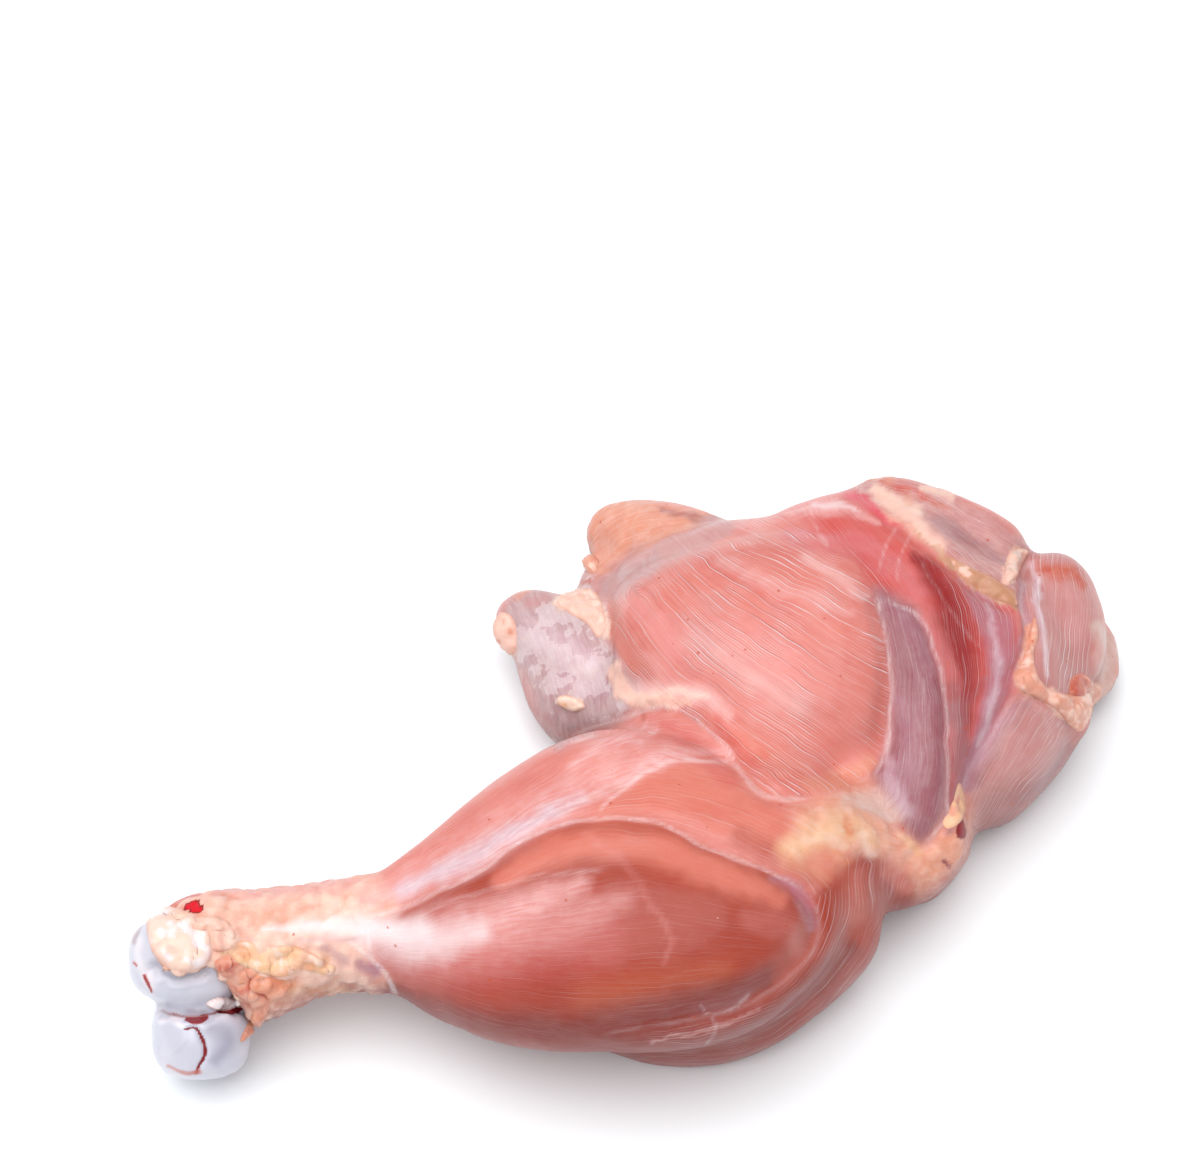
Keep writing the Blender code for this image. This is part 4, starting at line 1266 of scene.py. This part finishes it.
@dataclass
class MeatSkin:
    """The drumstick and the thigh as one fine skin, sculpted and painted through the photograph's view.

    Lengths are millimetres, but wobble and raggedness, which shift the paint's edges, are pixels.
    least_hold is the least cover at which a muscle gives its fibres, and no_line the gap where
    there is no white line. Where the skin faces down its tone is darkened towards deep coral, as painted
    shade.
    """

    view: PhotoView
    name: str = "leg_meat"
    voxel: float = 0.7
    smoothing: int = 16
    plug_from: float = -62.0
    plug_grow: float = 0.9
    knob: float = 1.7
    knob_size: float = 2.5
    knob_middle: float = 0.62
    wobble: float = 3.0
    wobble_size: float = 7.0
    raggedness: float = 3.5
    ragged_size: float = 3.5
    least_hold: float = 0.3
    least_fat: float = 0.2
    top_tint: float = 0.5
    pit_tint: float = 0.75
    # Painted shade on the underside: how strongly, and between which slopes, the tone darkens
    painted_underside_shade: float = 0.85
    underside_slopes: tuple[float, float] = (0.45, -0.35)
    unevenness: float = 0.18
    unevenness_size: float = 9.0
    inset: float = 0.1
    slack: float = 0.5
    no_line: float = 9.0
    places: np.ndarray = field(init=False, repr=False)
    normals: np.ndarray = field(init=False, repr=False)
    picture: np.ndarray = field(init=False, repr=False)
    facing: np.ndarray = field(init=False, repr=False)
    brushed: np.ndarray = field(init=False, repr=False)
    fat: np.ndarray = field(init=False, repr=False)
    lumps: np.ndarray = field(init=False, repr=False)

    def build(self) -> bpy.types.Object:
        """Makes the skin.

        Returns:
            The finished object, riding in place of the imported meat.
        """
        skin = refined(self.name, self.plugged_solid(), self.voxel, self.smoothing)
        self.look_at(skin.data)
        self.paint(skin.data)
        self.sculpt(skin.data)
        skin.data.materials.append(MeatFinish().material())
        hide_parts("meat")
        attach(skin, "root")
        log.info("%s: %d faces", self.name, len(skin.data.polygons))
        return skin

    def plugged_solid(self) -> bmesh.types.BMesh:
        """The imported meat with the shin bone's channel filled, so that the skin has no inner wall."""
        meat = node_bmesh("meat")
        bone = shin_bone_part(self.plug_from, towards_knee=True)
        bone.normal_update()
        for vert in bone.verts:
            vert.co += vert.normal * self.plug_grow * MM
        plug = bpy.data.meshes.new("plug")
        bone.to_mesh(plug)
        bone.free()
        meat.from_mesh(plug)
        bpy.data.meshes.remove(plug)
        return meat

    def look_at(self, mesh: Mesh) -> None:
        """Notes where each point is, which way it faces and where the picture shows it."""
        self.places, self.normals = mesh_arrays(mesh)
        self.facing = self.view.facing(self.places, self.normals)
        self.picture = self.view.pixels(self.places)
        self.picture += self.wobble * wander_at(self.places, self.wobble_size, (1, 2), 2)
        ragged = wander_at(self.places, self.ragged_size, (5, 6), 3)
        self.brushed = self.picture + self.raggedness * ragged

    def paint(self, mesh: Mesh) -> None:
        """Lays muscles and strokes over each other, darkens the underside with painted shade, and keeps the
        result as attributes.
        """
        count = len(self.places)
        coat = Coat.plain(count, Tone.SALMON, fat=0.1, film=0.3)
        fibre = np.zeros((count, 3))
        strongest = np.full(count, self.least_hold)
        for muscle in MUSCLES:
            amount = muscle.cover(self.picture)
            coat.lay(amount, muscle)
            held = amount > strongest
            along, across = muscle.grain(self.picture[held])
            strength = muscle.fibres * ramp(amount[held], 0.5, 1.0) * ramp(self.facing[held], *STRAND_FACING)
            fibre[held] = np.stack((along / PIXELS_PER_MM, across / PIXELS_PER_MM, strength), axis=1)
            strongest[held] = amount[held]
            log.info("%s: %s holds %d points", self.name, muscle.name, held.sum())
        # Painted shade: faces that turn down are darkened towards deep coral, as if in shade
        coat.tint(self.painted_underside_shade * ramp(self.normals[:, 2], *self.underside_slopes), Tone.DEEP_CORAL)
        near_side = ramp(self.facing, *PAINT_FACING)
        for stroke in STROKES:
            amount = near_side * stroke.cover(self.brushed)
            coat.lay(amount, stroke)
            fibre[:, 2] *= 1 - amount * max(stroke.veil, stroke.fat)
        self.fat = coat.cover[:, 0]
        self.lumps = np.zeros(count)
        fatty = self.fat > self.least_fat
        self.lumps[fatty] = self.fat[fatty] * (self.knob_middle - self.knobs(self.places[fatty]))
        coat.tint(self.top_tint * ramp(self.lumps, 0.05, 0.4), Tone.CREAM)
        coat.tint(self.pit_tint * ramp(self.lumps, 0.0, -0.3), Tone.ORANGE_FAT)
        coat.keep(mesh)
        store(mesh, "fibre", fibre)
        store(mesh, "seam", self.seam_lines())

    def seam_lines(self) -> np.ndarray:
        """Gap to the nearest white line in millimetres, how white it is, and nothing in the third place."""
        gap = np.full(len(self.places), self.no_line)
        white = np.zeros(len(self.places))
        for seam in SEAMS:
            curve = smooth_route(seam.route)
            near = near_box(curve, self.picture, seam.shown_reach)
            found = nearest_on(curve, self.picture[near])
            here = (found.distance - seam.line) / PIXELS_PER_MM
            fade = seam.white * ramp(np.minimum(found.share, 1 - found.share), 0.0, seam.line_taper)
            closer = here < gap[near]
            index = np.flatnonzero(near)[closer]
            gap[index] = here[closer]
            white[index] = fade[closer]
        return np.stack((gap, white * ramp(self.facing, *LINE_FACING), np.zeros_like(gap)), axis=1)

    def knobs(self, places: np.ndarray) -> np.ndarray:
        """Distance from the middle of the nearest lump of fat, as a share of the lumps' size."""
        scaled = places / self.knob_size + 0.35 * wander_at(places, 5.0, (8, 9, 10))
        return np.array([noise.voronoi(row)[0][0] for row in scaled.tolist()])

    def sculpt(self, mesh: Mesh) -> None:
        """Presses the seams, raises the fat's lumps and keeps the skin in its box and off the floor."""
        moved = ramp(self.facing, *SCULPT_FACING) * sum(seam.press(self.picture) for seam in SEAMS)
        moved += self.unevenness * noise_at(self.places, self.unevenness_size, 3, 2) - self.inset
        moved += self.fat * (0.3 * noise_at(self.places, 4.0, 4, 2) + 0.1) + self.knob * self.lumps
        places = self.places + self.normals * moved[:, None]
        low, high = (np.array(corner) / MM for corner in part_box("meat"))
        move_points(mesh, np.clip(places, low - (self.slack, self.slack, 0.0), high + self.slack))


@dataclass
class Knuckle:
    """The shin bone's end: two wheels of cartilage with blood in the gap between them."""

    view: PhotoView
    name: str = "hock_knuckle"
    voxel: float = 0.32
    smoothing: int = 10
    cut_at: float = -48.0
    wobble: float = 1.5

    def build(self) -> bpy.types.Object:
        """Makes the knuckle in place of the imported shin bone."""
        bone = shin_bone_part(self.cut_at, towards_knee=False)
        knuckle = refined(self.name, bone, self.voxel, self.smoothing)
        self.shape(knuckle.data)
        knuckle.data.materials.append(CartilageFinish().material())
        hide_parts("shin_bone")
        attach(knuckle, "root")
        log.info("%s: %d faces", self.name, len(knuckle.data.polygons))
        return knuckle

    def shape(self, mesh: Mesh) -> None:
        """Presses the crack and the gap in, and paints the cartilage, with painted shade and a painted
        highlight, and what clings to it.
        """
        places, normals = mesh_arrays(mesh)
        picture = self.view.pixels(places) + self.wobble * wander_at(places, 2.5, (11, 12), 2)
        seen = ramp(self.view.facing(places, normals), *SCULPT_FACING)
        coat = Coat.plain(len(places), Tone.CARTILAGE)
        for stroke in KNUCKLE_STROKES:
            coat.lay(stroke.cover(picture) * seen, stroke)
        moved = sum(seam.press(picture) for seam in KNUCKLE_SEAMS)
        moved += coat.cover[:, 0] * (0.4 + 0.5 * noise_at(places, 2.6, 13, 2))
        move_points(mesh, places + normals * (seen * moved)[:, None])
        coat.keep(mesh)


@dataclass
class FatPatches:
    """The lumps of fat and the shreds that lie on the skin and the knuckle, each its own piece."""

    view: PhotoView
    carriers: tuple[bpy.types.Object, ...]
    finish: bpy.types.Material
    spacing: float = 1.4
    sink: float = 0.25
    rim_fall: float = 0.1
    margin: float = 3.0
    film: float = 0.25
    # Painted shadow round each patch's rim: its tone and strength
    rim_shadow_tone: Tone = Tone.PEACH
    rim_shadow_strength: float = 0.55

    def build(self) -> None:
        """Lays each patch on what carries it."""
        bm = bmesh.new()
        for carrier in self.carriers:
            bm.from_mesh(carrier.data)
        surface = BVHTree.FromBMesh(bm)
        bm.free()
        for patch in PATCHES:
            piece = self.lay(patch, surface)
            piece.data.materials.append(self.finish)
            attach(piece, "root")
            log.info("%s: %d faces", patch.name, len(piece.data.polygons))

    def lay(self, patch: Patch, surface: BVHTree) -> bpy.types.Object:
        """Makes one patch.

        Args:
            patch: the patch's outline and thickness.
            surface: the skin that it lies on.

        Returns:
            The new object, its rim sunk just under the skin.
        """
        outline = smooth_route(patch.outline, closed=True, steps=6)
        low, high = outline.min(axis=0) - self.margin, outline.max(axis=0) + self.margin
        cells = np.ceil((high - low) / self.spacing).astype(int)
        bm = bmesh.new()
        bmesh.ops.create_grid(bm, x_segments=int(cells[0]), y_segments=int(cells[1]), size=0.5)
        spots = low + (np.array([vert.co[:2] for vert in bm.verts]) + 0.5) * (high - low)
        found = nearest_on(outline, spots)
        depth = np.where(inside(outline, spots), found.distance, -found.distance)
        eye = Vector(self.view.place) * MM
        missed = []
        for vert, spot, into in zip(bm.verts, spots, depth):
            hit, normal, _, _ = surface.ray_cast(eye, self.view.ray(*spot))
            if hit is None or into < -self.margin:
                missed.append(vert)
                continue
            dome = math.sqrt(1 - (1 - min(max(into / patch.edge, 0.0), 1.0)) ** 2)
            lumpy = noise.noise(hit / (patch.lump_size * MM)) * patch.lumps
            rise = dome * (patch.thickness + lumpy) - self.sink * (1 - dome) + min(into, 0.0) * self.rim_fall
            vert.co = hit + normal * rise * MM
        bmesh.ops.delete(bm, geom=missed, context="VERTS")
        bmesh.ops.smooth_vert(
            bm, verts=bm.verts, factor=0.5, use_axis_x=True, use_axis_y=True, use_axis_z=True
        )
        mesh = bpy.data.meshes.new(patch.name)
        bm.to_mesh(mesh)
        bm.free()
        mesh.shade_smooth()
        self.paint(patch, mesh)
        return new_object(patch.name, mesh)

    def paint(self, patch: Patch, mesh: Mesh) -> None:
        """Keeps the patch's colours, with a painted shadow round its rim, and its covers as the attributes
        that the meat's finish reads.
        """
        places, _ = mesh_arrays(mesh)
        count = len(places)
        coat = Coat.plain(count, patch.tone, patch.fat, self.film)
        coat.tint(ramp(noise_at(places, 2.4, 14, 3), patch.spread, patch.spread + 0.45), patch.second)
        picture = self.view.pixels(places)
        outline = smooth_route(patch.outline, closed=True)
        into = np.where(inside(outline, picture), nearest_on(outline, picture).distance, 0.0)
        # Painted shadow: the rim is tinted towards peach where the patch meets the surface under it
        coat.tint(self.rim_shadow_strength * ramp(into, 0.45 * patch.edge, 0.0), self.rim_shadow_tone)
        coat.keep(mesh)
        store(mesh, "fibre", np.zeros((count, 3)))
        store(mesh, "seam", np.tile((MeatSkin.no_line, 0.0, 0.0), (count, 1)))


@dataclass
class Studio:
    """White floor, an even sky, one soft light and the photograph's camera."""

    view: PhotoView
    floor_size: float = 6.0
    sky: float = 0.42
    sky_colour: tuple[float, float, float, float] = (0.97, 0.985, 1.0, 1.0)
    key_power: float = 3.05
    key_angle: float = 70.0
    key_direction: tuple[float, float, float] = (-0.15, -0.08, 1.0)

    def build(self) -> None:
        """Sets the whole studio up."""
        self.floor()
        self.world()
        self.key()
        self.camera()

    def floor(self) -> None:
        """A wide white floor."""
        bm = bmesh.new()
        bmesh.ops.create_grid(bm, x_segments=1, y_segments=1, size=self.floor_size / 2)
        mesh = bpy.data.meshes.new("floor")
        bm.to_mesh(mesh)
        bm.free()
        mesh.materials.append(FloorFinish().material())
        new_object("floor", mesh)

    def world(self) -> None:
        """An even white sky."""
        world = bpy.data.worlds.new("studio")
        world.use_nodes = True
        background = world.node_tree.nodes["Background"]
        background.inputs["Color"].default_value = self.sky_colour
        background.inputs["Strength"].default_value = self.sky
        bpy.context.scene.world = world
        bpy.context.scene.view_settings.view_transform = "Standard"

    def key(self) -> None:
        """One wide soft light from above, a little from the left and from the front."""
        lamp = bpy.data.lights.new("key", "SUN")
        lamp.energy = self.key_power
        lamp.angle = math.radians(self.key_angle)
        obj = bpy.data.objects.new("key", lamp)
        obj.rotation_mode = "QUATERNION"
        obj.rotation_quaternion = Vector(self.key_direction).to_track_quat("Z", "Y")
        bpy.context.scene.collection.objects.link(obj)

    def camera(self) -> None:
        """The photograph's camera."""
        camera = bpy.data.cameras.new("camera")
        camera.lens = self.view.lens
        camera.sensor_width = self.view.sensor
        camera.clip_end = 10.0
        obj = bpy.data.objects.new("camera", camera)
        obj.location = Vector(self.view.place) * MM
        obj.rotation_euler = (math.radians(90 - self.view.elevation), 0.0, 0.0)
        bpy.context.scene.collection.objects.link(obj)
        bpy.context.scene.camera = obj


def main() -> None:
    """Builds the leg and its studio."""
    view = PhotoView()
    skin = MeatSkin(view).build()
    knuckle = Knuckle(view).build()
    FatPatches(view, (skin, knuckle), skin.data.materials[0]).build()
    Studio(view).build()


if __name__ == "__main__":
    main()
